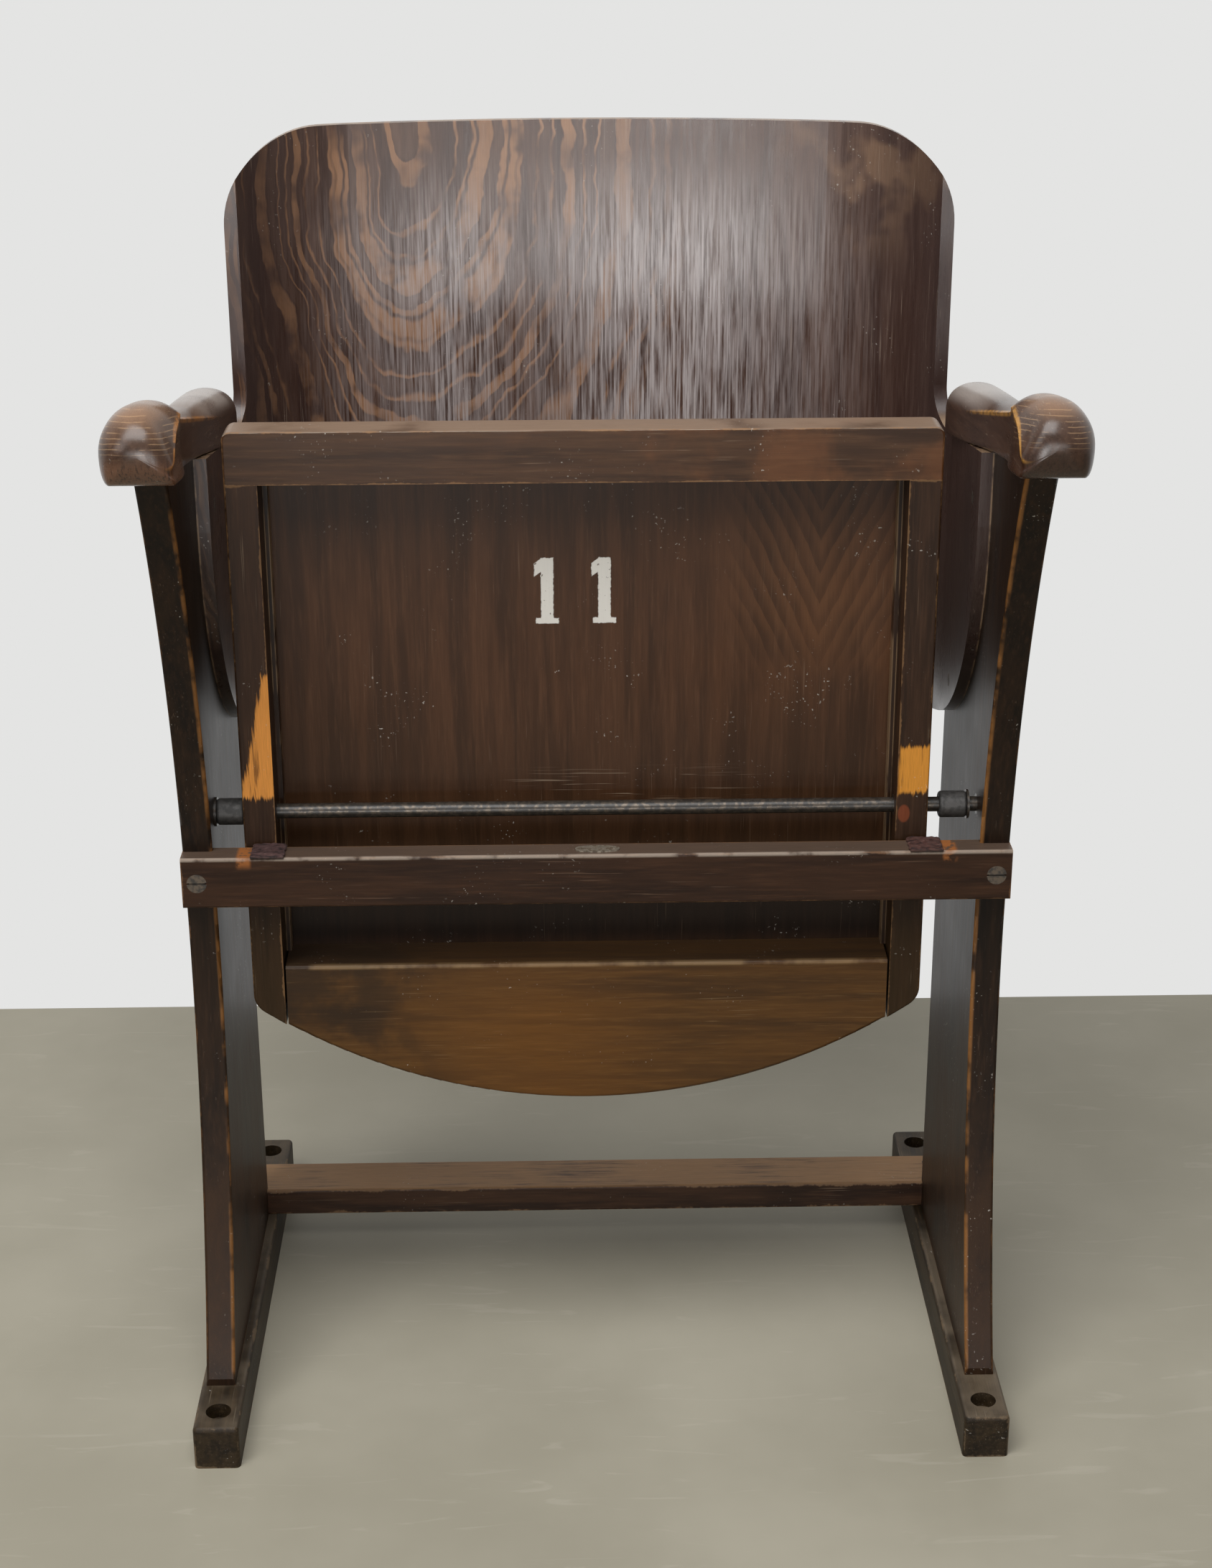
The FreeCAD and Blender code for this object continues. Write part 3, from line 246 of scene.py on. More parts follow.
class Wood(Finish):
    """Stained and polished wood: its fibres, pores, figure, worn edges, scratches and dust."""

    def __init__(self, name, along, seed):
        super().__init__(name)
        streak, fibre, figure, scratch = GRAIN[along]
        self.seed = seed
        shift = (seed * 3.7, seed * 5.3, seed * 7.1)
        self.fibres = self.noise(self.scaled(fibre, shift), detail=2, roughness=0.6)
        self.streaks = self.noise(self.scaled(streak, shift), detail=4, roughness=0.62)
        across = self.scaled(figure, shift)
        self.figure = self.noise(across, detail=3, roughness=0.6, distortion=0.6)
        self.lines = self.noise(self.scaled(scratch, shift), detail=1, distortion=0.4)
        self.blotches = self.cloud(0.07, seed, 4)
        self.worn = self.blotches * 0

    def stain(self, dark, middle, light, fibrous=0.3):
        """The stain, darker in the dense figure and paler along streaks, with dark pores."""
        body = self.mix(self.figure.step(0.34, 0.64), dark, middle)
        body = self.mix(self.streaks.step(0.46, 0.76) * 0.55, body, light)
        body = self.mix(self.streaks.step(0.46, 0.3) * 0.4, body, dark)
        self.colour = self.tinted(body, self.grey(self.fibres * fibrous + (1.02 - fibrous / 2)))

    def paint(self, mask, colour, fibrous=0.6):
        """Lays a colour over the wood where the mask is 1, and lets the fibres show through."""
        shade = self.grey(self.fibres * fibrous + (1 - fibrous / 2))
        self.colour = self.mix(mask, self.colour, self.tinted(colour, shade))

    def wear(self, distance, reach, bare, amount):
        """Rubs the stain off near an edge. distance says how far the edge is."""
        coarse = self.cloud(0.022, self.seed + 4, 4)
        fine = self.cloud(0.0025, self.seed + 2, 2)
        ragged = distance / reach - (coarse - 0.5) * 3.4 - (fine - 0.5) * 1.2
        worn = ragged.step(0.7, 0.1) * amount
        self.paint(worn, bare)
        self.worn = self.worn.at_least(worn)

    def scratch(self, amount, colour):
        """Thin scratches along the grain, in patches."""
        patches = self.cloud(0.045, self.seed + 9, 2).step(0.46, 0.6)
        self.paint(self.lines.step(0.67, 0.74) * patches * amount * 0.7, colour, 0.2)

    def dust(self, amount):
        """Pale specks in patches."""
        fine = self.cloud(0.0021, self.seed, 1)
        where = self.cloud(0.04, self.seed + 6, 2)
        self.paint(fine.step(0.7, 0.75) * where.step(0.54, 0.7) * amount * 0.8, DUST, 0.0)

    def polish(self, rough, spread=0.16, depth=0.14, coat=0.0, specular=0.2, coat_rough=0.2):
        """Finishes the material. depth is how deep the grain lies, in millimetres."""
        uneven = (self.blotches - 0.5) * spread + (self.streaks - 0.5) * spread
        roughness = uneven + rough + self.worn * 0.18
        normal = self.raised(self.fibres * 0.6 + self.streaks * 0.4, mm(depth), 0.4)
        return self.set(
            Base_Color=self.colour,
            Roughness=roughness,
            Normal=normal,
            Coat_Weight=coat,
            Coat_Roughness=coat_rough,
            Specular_IOR_Level=specular,
        )


def edge_distance(first, second, third):
    """How far the nearest edge is, from the distances to three pairs of faces."""
    least = first.at_most(second).at_most(third)
    most = first.at_least(second).at_least(third)
    return first + second + third - least - most


def gap(value, low, high):
    """Distance from the nearer of two limits."""
    return (value - low).at_most(high - value)


def box_edges(wood, node):
    """Distance from the nearest edge of a node's box."""
    low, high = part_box(node)
    across = gap(wood.x, low.x, high.x)
    ahead = gap(wood.y, low.y, high.y)
    along = gap(wood.z, low.z, high.z)
    return edge_distance(across, ahead, along)


def top_front_edge(wood, low, high):
    """Distance from a box's upper front edge, down and back added."""
    return (wood.y - low.y) + (high.z - wood.z)


# The wood of each piece

# The hollow front edge of a side panel is an arc round this point, in the panel's own plane
HOLLOW_DEPTH = mm(-838.4)
HOLLOW_HEIGHT = mm(330.3)
HOLLOW_RADIUS = mm(750)


def panel_wood(side, seed):
    """Nearly black boards, browner near the floor, with rubbed gold along the front edges."""
    wood = Wood(f"{side}_panel_wood", "Z", seed)
    wood.stain(srgb(22, 13, 7), srgb(38, 24, 13), srgb(58, 38, 23))
    ahead = (wood.y - HOLLOW_DEPTH) ** 2 + (wood.z - HOLLOW_HEIGHT) ** 2
    front = ahead ** 0.5 - HOLLOW_RADIUS
    across = gap(abs(wood.x), PANEL_LOW.x, PANEL_HIGH.x)
    along = gap(wood.z, PANEL_LOW.z, PANEL_HIGH.z)
    wood.paint(wood.z.step(0.36, 0.08) * wood.blotches.step(0.3, 0.62) * 0.5, srgb(70, 46, 26))
    ends = front.at_most(PANEL_HIGH.y - wood.y)
    wood.wear(edge_distance(ends, across, along), mm(1.2), srgb(112, 76, 44), 0.6)
    inner_edge = front + (abs(wood.x) - PANEL_LOW.x)
    broken = wood.cloud(0.03, seed + 5, 3).step(0.38, 0.58)
    wood.paint(inner_edge.step(mm(3.0), mm(1.4)) * broken * 0.55, srgb(168, 114, 60))
    wood.scratch(0.4, srgb(120, 100, 84))
    wood.dust(0.7)
    return wood.polish(0.46, coat=0.05, specular=0.16)


def runner_wood(side, seed):
    """Dull and scuffed, palest on its outer side, its upward faces paler from scuffs and a painted
    highlight.
    """
    wood = Wood(f"{side}_runner_wood", "Y", seed)
    wood.stain(srgb(30, 22, 12), srgb(52, 40, 24), srgb(80, 64, 46))
    outermost = abs(wood.x).step(RUNNER_HIGH.x - mm(4), RUNNER_HIGH.x - mm(1))
    outer = abs(wood.facing_x).step(0.6, 0.95) * outermost
    wood.paint(outer * wood.blotches.step(0.3, 0.6) * 0.75, srgb(138, 120, 98))
    # Upward faces paler in blotches: scuffs, and a painted highlight where the light from above
    # falls
    upper = wood.facing_z.step(0.6, 0.95) * wood.blotches.step(0.34, 0.6)
    wood.paint(upper * 0.6, srgb(122, 108, 90))
    wood.wear(box_edges(wood, f"{side}_foot_runner"), mm(2.2), srgb(128, 108, 84), 0.55)
    wood.scratch(0.5, srgb(150, 136, 116))
    wood.dust(0.8)
    return wood.polish(0.55, specular=0.22)


def stretcher_wood():
    """Worn pale on top by shoes, and painted paler on top as a highlight."""
    wood = Wood("stretcher_wood", "X", 7.0)
    wood.stain(srgb(50, 31, 20), srgb(76, 50, 33), srgb(100, 70, 48))
    uneven = (wood.blotches * 0.5 + wood.streaks * 0.5).step(0.28, 0.52)
    scuffed_and_highlit = wood.facing_z.step(0.4, 0.9) * uneven
    # Upward faces: shoe wear, and a painted highlight from the light above
    wood.paint(scuffed_and_highlit * 0.9, srgb(178, 138, 98))
    wood.wear(box_edges(wood, "foot_stretcher"), mm(2.6), srgb(158, 124, 92), 0.75)
    wood.scratch(0.6, srgb(176, 152, 128))
    wood.dust(0.8)
    return wood.polish(0.5, specular=0.25)


# Where the front rail is rubbed bare beside its pads, to either side of the middle
BARE_INNER = mm(229)
BARE_OUTER = mm(238)


def rail_wood():
    """The front rail: a pale rubbed line along its top front edge, bare wood beside the pads, and
    a painted highlight on its upward faces.
    """
    wood = Wood("rail_wood", "X", 8.0)
    wood.stain(srgb(40, 23, 13), srgb(57, 35, 21), srgb(78, 50, 31))
    # Painted highlight: the rail's upward faces paler, where the light from above falls on them
    wood.paint(wood.facing_z.step(0.5, 0.95) * 0.6, srgb(104, 88, 76))
    beside = wood.inside(abs(wood.x), BARE_INNER, BARE_OUTER, mm(1.5))
    high_up = wood.z.step(RAIL_HIGH.z - mm(9), RAIL_HIGH.z - mm(3))
    chipped = wood.cloud(0.006, 3.0).step(0.36, 0.5)
    wood.paint(beside * high_up * chipped * 0.9, srgb(160, 98, 50))
    wood.wear(box_edges(wood, "front_rail"), mm(1.2), srgb(124, 90, 62), 0.6)
    corner = top_front_edge(wood, RAIL_LOW, RAIL_HIGH).step(mm(2.6), mm(1.4))
    broken = wood.cloud(0.02, 8.0, 4).step(0.34, 0.52)
    wood.paint(corner * broken * 0.5, srgb(186, 170, 154), 0.3)
    wood.scratch(0.5, srgb(130, 104, 84))
    wood.dust(0.7)
    return wood.polish(0.38, coat=0.04, specular=0.16)


def nose_wood():
    """The seat's front member: tan where hands have rubbed it, pale on the rounded top from wear
    and a painted highlight, with a painted highlight band along the rounding.
    """
    wood = Wood("nose_wood", "X", 9.0)
    wood.stain(srgb(54, 34, 20), srgb(74, 49, 31), srgb(96, 68, 46))
    tan = wood.cloud(0.06, 2.0, 4).step(0.46, 0.62) * wood.x.step(-0.12, 0.06)
    wood.paint(tan * 0.4, srgb(126, 78, 44))
    # Upward faces pale in blotches: wear, and a painted highlight from the light above
    rubbed = wood.facing_z.step(0.35, 0.95) * wood.blotches.step(0.25, 0.5)
    wood.paint(rubbed * 0.75, srgb(152, 128, 108))
    # Painted highlight: a pale band where the rounding turns toward the light
    highlight_band = wood.inside(wood.facing_z, 0.5, 0.62, 0.07)
    broken = wood.cloud(0.03, 5.0, 4).step(0.4, 0.56)
    wood.paint(highlight_band * broken * 0.6, srgb(206, 192, 174), 0.3)
    wood.wear(box_edges(wood, "seat_nose_rail"), mm(1.2), srgb(150, 112, 76), 0.6)
    wood.scratch(0.5, srgb(150, 126, 104))
    wood.dust(0.7)
    return wood.polish(0.36, coat=0.05, specular=0.14)


# The bare patches on the stiles: a slanting flame at the left, a block at the right with a small
# reddish oval below it. The oval's numbers are its middle and its half size
PATCH_FOOT = mm(447)
FLAME_TOP = mm(533)
FLAME_EDGE = mm(-236.2)
FLAME_SLANT = 0.22
BLOCK_TOP = mm(479)
BLOCK_EDGE = (mm(199.5), mm(201.5))
OVAL_ACROSS = (mm(204.5), mm(4.2))
OVAL_UP = (mm(431.7), mm(6.5))


def stile_wood(side, seed):
    """A side member of the seat, with the bare amber patch that its stop has rubbed."""
    wood = Wood(f"{side}_stile_wood", "Z", seed)
    wood.stain(srgb(42, 27, 17), srgb(58, 38, 25), srgb(78, 54, 38))
    wood.paint(wood.z.step(0.44, 0.3) * 0.5, srgb(50, 38, 16))
    wood.wear(box_edges(wood, f"{side}_seat_stile"), mm(1.4), srgb(138, 104, 70), 0.6)
    wood.scratch(0.5, srgb(140, 120, 98))
    under = wood.facing_y.step(-0.3, -0.7)
    ragged = (wood.streaks - 0.5) * 0.012 + (wood.fibres - 0.5) * 0.006
    if side == "left":
        flame = FLAME_EDGE + (wood.z - PATCH_FOOT) * FLAME_SLANT + ragged
        beside = (wood.x - flame).step(0, mm(2))
        top = FLAME_TOP
        dark = wood.streaks.step(0.54, 0.66) * wood.z.step(mm(495), mm(465)) * 0.7
        tone = srgb(214, 142, 66)
    else:
        beside = (wood.x + ragged * 0.3).step(*BLOCK_EDGE)
        top = BLOCK_TOP
        dark = wood.streaks.step(0.56, 0.66) * 0.4
        tone = srgb(214, 144, 56)
        across = (wood.x - OVAL_ACROSS[0]) / OVAL_ACROSS[1]
        up = (wood.z - OVAL_UP[0]) / OVAL_UP[1]
        oval = (across ** 2 + up ** 2).step(1.2, 0.6)
        wood.paint(oval * under * 0.8, srgb(128, 66, 40))
    bare = wood.inside(wood.z + ragged, PATCH_FOOT, top, mm(1.5)) * beside * under
    wood.paint(bare, tone, 0.7)
    wood.paint(bare * dark, srgb(72, 40, 18), 0.8)
    wood.dust(0.7)
    return wood.polish(0.42, coat=0.03, specular=0.12)


def board_wood():
    """The thick rear board: olive, dark at the left, amber in the middle, its top edge bright, and
    painted shade on its upward face.
    """
    wood = Wood("board_wood", "X", 10.0)
    wood.stain(srgb(66, 42, 16), srgb(88, 57, 21), srgb(108, 74, 33))
    dark = wood.cloud(0.05, 7.0, 4).step(0.42, 0.6) * wood.x.step(-0.07, -0.16)
    wood.paint(dark * 0.7, srgb(40, 27, 15))
    glow = wood.inside(wood.x, -0.11, 0.02, 0.06) * wood.z.step(0.34, 0.28)
    wood.paint(glow * 0.26, srgb(146, 92, 26), 0.4)
    corner = top_front_edge(wood, BOARD_LOW, BOARD_HIGH).step(mm(4), mm(2))
    broken = wood.cloud(0.03, 1.0, 4).step(0.36, 0.55)
    wood.paint(corner * broken * 0.5, srgb(164, 132, 90), 0.4)
    # Painted shade: the board's upward face darker, in the shade of the rail above it
    wood.paint(wood.facing_z.step(0.6, 0.95) * 0.5, srgb(62, 50, 40))
    wood.scratch(0.4, srgb(158, 128, 88))
    wood.dust(0.7)
    return wood.polish(0.4, coat=0.06)


# The painted seat number: the middle of each stem, its foot and head, and its sizes
STEMS = (mm(-31.5), mm(6.2))
FOOT = mm(555.3)
HEAD = mm(600.2)
HALF_STEM = mm(4.1)
HALF_FOOT = mm(7.6)
FOOT_HEIGHT = mm(3.7)
FLAG_ACROSS = (mm(-8.4), mm(-3))
FLAG_BELOW_HEAD = (mm(9.5), mm(0.5))
FLAG_SLOPE = 0.75


def numeral(wood, middle):
    """A painted 1 with a flag and a foot, slightly ragged."""
    ragged = (wood.cloud(0.0022, 4.0, 2) - 0.5) * 0.0016
    across = wood.x - middle + ragged
    up = wood.z + ragged
    soft = mm(0.35)
    stem = wood.inside(across, -HALF_STEM, HALF_STEM, soft)
    stem = stem * wood.inside(up, FOOT, HEAD, soft)
    foot = wood.inside(across, -HALF_FOOT, HALF_FOOT, soft)
    foot = foot * wood.inside(up, FOOT, FOOT + FOOT_HEIGHT, soft)
    slanting = up - (across + HALF_STEM) * FLAG_SLOPE
    flag = wood.inside(across, *FLAG_ACROSS, soft)
    flag = flag * wood.inside(slanting, HEAD - FLAG_BELOW_HEAD[0], HEAD - FLAG_BELOW_HEAD[1], soft)
    return stem.at_least(foot).at_least(flag)


# The veneer's flame on the seat: its axis, how steeply it points, and its rings' step
FLAME_AXIS = mm(148)
FLAME_POINT = 2.1
FLAME_STEP = mm(21)


def seat_plywood():
    """The underside of the seat: dark, with painted shade in the strip behind the rail, a flame in
    the veneer and the painted seat number.
    """
    wood = Wood("seat_plywood", "Z", 11.0)
    wood.stain(srgb(58, 37, 23), srgb(76, 49, 31), srgb(92, 62, 41), 0.22)
    wood.paint(wood.z.step(0.52, 0.40) * 0.45, srgb(56, 38, 23))
    warm = wood.x.step(0.0, 0.14) * wood.z.step(0.45, 0.55) * wood.cloud(0.09, 5.0).step(0.3, 0.6)
    wood.paint(warm * 0.5, srgb(98, 62, 36))
    # Painted shade: the strip between the rear board and the rail, nearly black where the rail
    # keeps the light off
    shade_behind_rail = wood.inside(wood.z, mm(326), mm(372), mm(8))
    wood.paint(shade_behind_rail * 0.7, srgb(14, 9, 6))
    aside = abs(wood.x - FLAME_AXIS)
    level = wood.z - aside * FLAME_POINT + (wood.blotches - 0.5) * 0.03
    wave = (level / FLAME_STEP).fraction()
    near = aside.step(0.075, 0.03) * wood.z.step(0.50, 0.57)
    wood.paint(wave.step(0.15, 0.85) * near * 0.3, srgb(122, 82, 52))
    low_down = wood.inside(wood.z, mm(425), mm(450), mm(6))
    low_down = low_down * wood.inside(wood.x, mm(-50), mm(100), mm(20))
    across = wood.noise(wood.scaled((20, 900, 900)), detail=1, distortion=0.3)
    wood.paint(across.step(0.62, 0.7) * low_down * 0.6, srgb(150, 130, 110), 0.2)
    wood.scratch(0.35, srgb(128, 104, 84))
    wood.dust(0.8)
    chipped = wood.cloud(0.004, 2.0, 3).step(0.28, 0.36)
    under = wood.facing_y.step(-0.3, -0.7)
    for middle in STEMS:
        wood.paint(numeral(wood, middle) * chipped * under, srgb(228, 224, 217), 0.1)
    return wood.polish(0.36, coat=0.04, specular=0.14)


# The middle of the seat, which lies left of centre, and how far from it the edges of the cleats
# at its sides are
SEAT_MIDDLE = mm(-7.1)
CLEAT_EDGE = (mm(203.2), mm(206.4))


def cleat_wood():
    """Thin dark strips with a painted highlight along their edges."""
    wood = Wood("cleat_wood", "Z", 17.0)
    wood.stain(srgb(34, 22, 14), srgb(52, 34, 22), srgb(74, 50, 34))
    # Painted highlight: a pale line along the cleats' edges
    edge = gap(abs(wood.x - SEAT_MIDDLE), *CLEAT_EDGE).step(mm(0.9), mm(0.2))
    broken = wood.cloud(0.04, 2.0).step(0.36, 0.5)
    wood.paint(edge * broken * 0.6, srgb(150, 122, 92), 0.3)
    return wood.polish(0.42)


# The veneer of the back: bands nested round a point on its top edge, drawn out downward, and
# more so at the left of the point
BAND_AXIS = mm(-131)
BAND_STEP = mm(36)
BANDS_NARROWER_LEFT = 3.1
BANDS_NARROWER_RIGHT = 1.8


def back_plywood():
    """Moulded veneer: nested pale bands at the left, plain at the right, and a hazy gloss, partly
    from the polish and partly a painted pale reflection in streaks on the front.
    """
    wood = Wood("back_plywood", "Z", 12.0)
    wood.stain(srgb(66, 45, 37), srgb(88, 65, 55), srgb(112, 88, 77), 0.36)
    wander = (wood.cloud(0.05, 12.0, 3) - 0.5) * 0.045 + (wood.fibres - 0.5) * 0.003
    aside = wood.x - BAND_AXIS + (wood.cloud(0.09, 2.0, 2) - 0.5) * 0.02
    change = BANDS_NARROWER_RIGHT - BANDS_NARROWER_LEFT
    spread = abs(aside) * (aside.step(-0.01, 0.01) * change + BANDS_NARROWER_LEFT)
    below = BACK_HIGH.z - wood.z
    level = (spread * spread + below * below) ** 0.5 + wander
    bands = wood.noise(wood.joined(level / BAND_STEP, 3.0, 7.0), detail=2, roughness=0.5)
    figured = wood.x.step(0.1, -0.02) * wood.cloud(0.06, 3.0, 3).step(0.28, 0.52)
    wood.paint(bands.step(0.52, 0.62) * figured * 0.16, srgb(138, 106, 84), 0.7)
    seam = abs(bands - 0.5).step(0.04, 0.008) * wood.cloud(0.03, 8.0, 3).step(0.3, 0.55)
    wood.paint(seam * figured * 0.85, srgb(160, 118, 86), 0.6)
    wood.paint(bands.step(0.44, 0.34) * figured * 0.22, srgb(56, 36, 30))
    corner = wood.x.step(0.1, 0.2) * wood.z.step(0.74, 0.82)
    wood.paint(corner * wood.cloud(0.05, 21.0, 3).step(0.52, 0.66) * 0.5, srgb(160, 126, 98))
    # Painted shade: darker toward both sides, where the shell bends forward away from the light
    wood.paint(abs(wood.x).step(0.16, 0.25) * 0.7, srgb(46, 29, 26))
    # Painted reflection: pale streaks across the middle and left of the front face, standing in
    # for the polish reflecting the light in front
    front = wood.facing_y.step(0.2, -0.2)
    middle = wood.inside(wood.x, -0.01, 0.12, 0.05) * 0.5
    left = wood.inside(wood.x, -0.13, -0.07, 0.03) * 0.35
    gloss_streaks = wood.lines.step(0.4, 0.66) * 0.5 + wood.streaks.step(0.36, 0.6) * 0.5
    painted_gloss = (middle + left + 0.22) * gloss_streaks * front
    painted_gloss = painted_gloss * wood.z.step(0.84, 0.76) * abs(wood.x).step(0.22, 0.15)
    wood.paint(painted_gloss * 1.5, srgb(184, 174, 172), 0.3)
    wood.scratch(0.5, srgb(168, 148, 130))
    sides = abs(wood.x).step(BACK_HIGH.x - mm(1.4), BACK_HIGH.x - mm(0.6))
    rim = wood.facing_z.step(0.6, 0.9).at_least(sides)
    wood.paint(rim * wood.cloud(0.02, 6.0, 4).step(0.36, 0.54) * 0.6, srgb(168, 138, 108))
    wood.dust(0.6)
    coat = front * 0.5 + 0.1
    return wood.polish(0.34, spread=0.4, depth=0.2, coat=coat, specular=0.3, coat_rough=0.3)


# The colours of each arm where hands rubbed it, low on its nose, and bare on its crisp edges
ARM_COLOURS = {
    "left": (srgb(128, 98, 76), srgb(122, 84, 62), srgb(178, 118, 58)),
    "right": (srgb(96, 74, 62), srgb(62, 38, 27), srgb(196, 142, 66)),
}
RING_STEP = mm(3.1)


def arm_wood(side, seed):
    """Carved arm: hand-rubbed tan on the nose, streaks below it, bare wood on its crisp edges, a
    painted highlight on the nose's crown and a painted sheen on the knob.
    """
    wood = Wood(f"{side}_arm_wood", "Y", seed)
    wood.stain(srgb(50, 32, 22), srgb(72, 49, 36), srgb(96, 70, 54))
    tan, nose_foot, bare = ARM_COLOURS[side]
    lift = wood.z + (wood.y - mm(RUNNER_FRONT + ARM_START)) * ARM_FALL - mm(ARM_FOOT)
    nose = wood.y.step(mm(-150), mm(-185))
    rubbed = wood.facing_z.step(0.0, 0.8) * wood.blotches.step(0.25, 0.55)
    wood.paint(rubbed * 0.6, tan)
    rings = wood.inside((lift / RING_STEP + wood.blotches * 2.2).fraction(), 0.0, 0.17, 0.08)
    broken = wood.cloud(0.014, seed, 3).step(0.44, 0.56)
    wood.paint(rings * broken * nose * lift.step(mm(14), mm(24)) * 0.45, srgb(190, 154, 116), 0.2)
    upright = wood.noise(wood.scaled((700, 700, 60)), detail=3)
    low = lift.step(mm(20), mm(9)) * nose
    wood.paint(low * 0.6, nose_foot)
    wood.paint(low * upright.step(0.5, 0.62) * 0.7, srgb(46, 27, 18))
    # Painted highlight: pale on the highest part of the nose, where the light from above shines on
    # it
    wood.paint(wood.z.step(mm(727), mm(737)) * nose * 0.35, srgb(190, 146, 110))
    edge = wood.node("ShaderNodeAttribute", {"attribute_name": EDGE_LAYER}, {}, "Fac")
    chips = wood.cloud(0.006, seed + 3, 4).step(0.32, 0.56)
    wood.paint(edge.step(0.25, 0.8) * chips * 0.85, bare)
    wood.scratch(0.4, srgb(180, 160, 138))
    # Painted sheen: pale grey on the knob's upper faces, where it reflects the pale wall behind
    knob_sheen = wood.facing_z.step(0.1, 0.8) * wood.y.step(mm(-70), mm(0))
    wood.paint(knob_sheen * wood.blotches.step(0.25, 0.5) * 0.7, srgb(188, 178, 170), 0.3)
    wood.dust(0.5)
    return wood.polish(0.3, spread=0.16, depth=0.08, coat=0.4, specular=0.3, coat_rough=0.24)


def dress_wood():
    """Each piece's own seed gives it its own grain."""
    for side, seed in (("left", 1.0), ("right", 2.0)):
        dress(panel_wood(side, seed), f"{side}_side_panel")
        dress(runner_wood(side, seed + 2), f"{side}_foot_runner")
        dress(stile_wood(side, seed + 4), f"{side}_seat_stile")
    dress(stretcher_wood(), "foot_stretcher")
    dress(rail_wood(), "front_rail")
    dress(nose_wood(), "seat_nose_rail")
    dress(board_wood(), "seat_rear_board")
    dress(seat_plywood(), "seat_panel")
    dress(cleat_wood(), "left_panel_cleat", "right_panel_cleat", "nose_cleat")
    dress(back_plywood(), "backrest_shell")
    pale = Wood("dowel_wood", "Z", 13.0)
    pale.stain(srgb(170, 130, 84), srgb(196, 158, 110), srgb(214, 180, 130))
    dress(pale.polish(0.6), "arm_dowels", "nose_dowels")


# Metal and leather

def metal(name, bright, dull, rough, metallic, share=0.5, bump=0.05):
    """Old metal: bright on a share of it, dull with grime between, and finely pitted.

    bump is how deep the pits are, in millimetres.
    """
    finish = Finish(name)
    grime = finish.cloud(0.0034, 1.0, 5)
    pits = finish.cloud(0.0009, 2.0, 2)
    amount = grime.step(share + 0.1, share - 0.1)
    return finish.set(
        Base_Color=finish.mix(amount, dull, bright),
        Metallic=amount * metallic,
        Roughness=grime * 0.3 + rough,
        Normal=finish.raised(grime * 0.6 + pits * 0.4, mm(bump), 0.6),
    )


def dress_metal():
    bright = srgb(98, 87, 76)
    screw = metal("screw_steel", bright, srgb(44, 37, 31), rough=0.36, metallic=0.7, share=0.52)
    for held in ("rail", "backrest", "stretcher", "runner", "rear_board", "seat_panel"):
        dress(screw, f"{held}_screws")
    bright = srgb(88, 79, 70)
    dull = srgb(38, 33, 28)
    rod = metal("axle_steel", bright, dull, rough=0.2, metallic=0.6, share=0.46, bump=0.015)
    bright = srgb(74, 72, 70)
    sleeve = metal("sleeve_black", bright, srgb(48, 46, 44), rough=0.42, metallic=0.25)
    dress(rod, "axle_rod")
    for side in ("left", "right"):
        dress(rod, f"{side}_thrust_washer", f"{side}_panel_bush", f"{side}_stile_bush")
        dress(sleeve, f"{side}_spacer_sleeve")
    bright = srgb(176, 166, 150)
    plate = metal("plate_metal", bright, srgb(92, 80, 66), rough=0.3, metallic=0.8)
    dress(plate, "oval_plate", "plate_pins")


def leather(side):
    """Dark leather, creased and rubbed, with paler worn grain."""
    hide = Finish(f"{side}_rail_leather")
    cells = {"Vector": hide.scaled((900, 900, 900))}
    grain = hide.node("ShaderNodeTexVoronoi", {"feature": "DISTANCE_TO_EDGE"}, cells)
    creases = hide.noise(hide.scaled((140, 420, 420)), detail=4, distortion=1.2)
    tone = srgb(92, 66, 64) if side == "left" else srgb(96, 62, 54)
    colour = hide.mix(creases.step(0.32, 0.52), srgb(38, 25, 25), tone)
    colour = hide.mix(creases.step(0.54, 0.7) * 0.5, colour, srgb(142, 112, 104))
    height = grain.step(0.0, 0.28) * 0.35 + creases * 0.65
    return hide.set(
        Base_Color=colour,
        Roughness=creases * 0.3 + 0.36,
        Normal=hide.raised(height, mm(0.7), 0.8),
    )


# Pieces that are modelled here

def object_of(name, build, material, replaced):
    """Turns a bmesh into an object of the standing body that stands for a node of the model."""
    build.normal_update()
    mesh = bpy.data.meshes.new(name)
    build.to_mesh(mesh)
    build.free()
    mesh.shade_smooth()
    mesh.materials.append(material)
    item = bpy.data.objects.new(name, mesh)
    bpy.context.scene.collection.objects.link(item)
    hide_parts(replaced)
    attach(item, STANDING_BODY)
    return item


def eased(place, keys):
    """A smooth curve through (place, value) keys, level beyond its ends."""
    places = [key[0] for key in keys]
    values = [key[1] for key in keys]
    if place <= places[0]:
        return values[0]
    if place >= places[-1]:
        return values[-1]
    slopes = np.gradient(values, places)
    number = int(np.searchsorted(places, place)) - 1
    reach = places[number + 1] - places[number]
    share = (place - places[number]) / reach
    rest = 1 - share
    leaving = values[number] * (1 + 2 * share) + slopes[number] * reach * share
    arriving = values[number + 1] * (3 - 2 * share) - slopes[number + 1] * reach * rest
    return float(leaving * rest * rest + arriving * share * share)


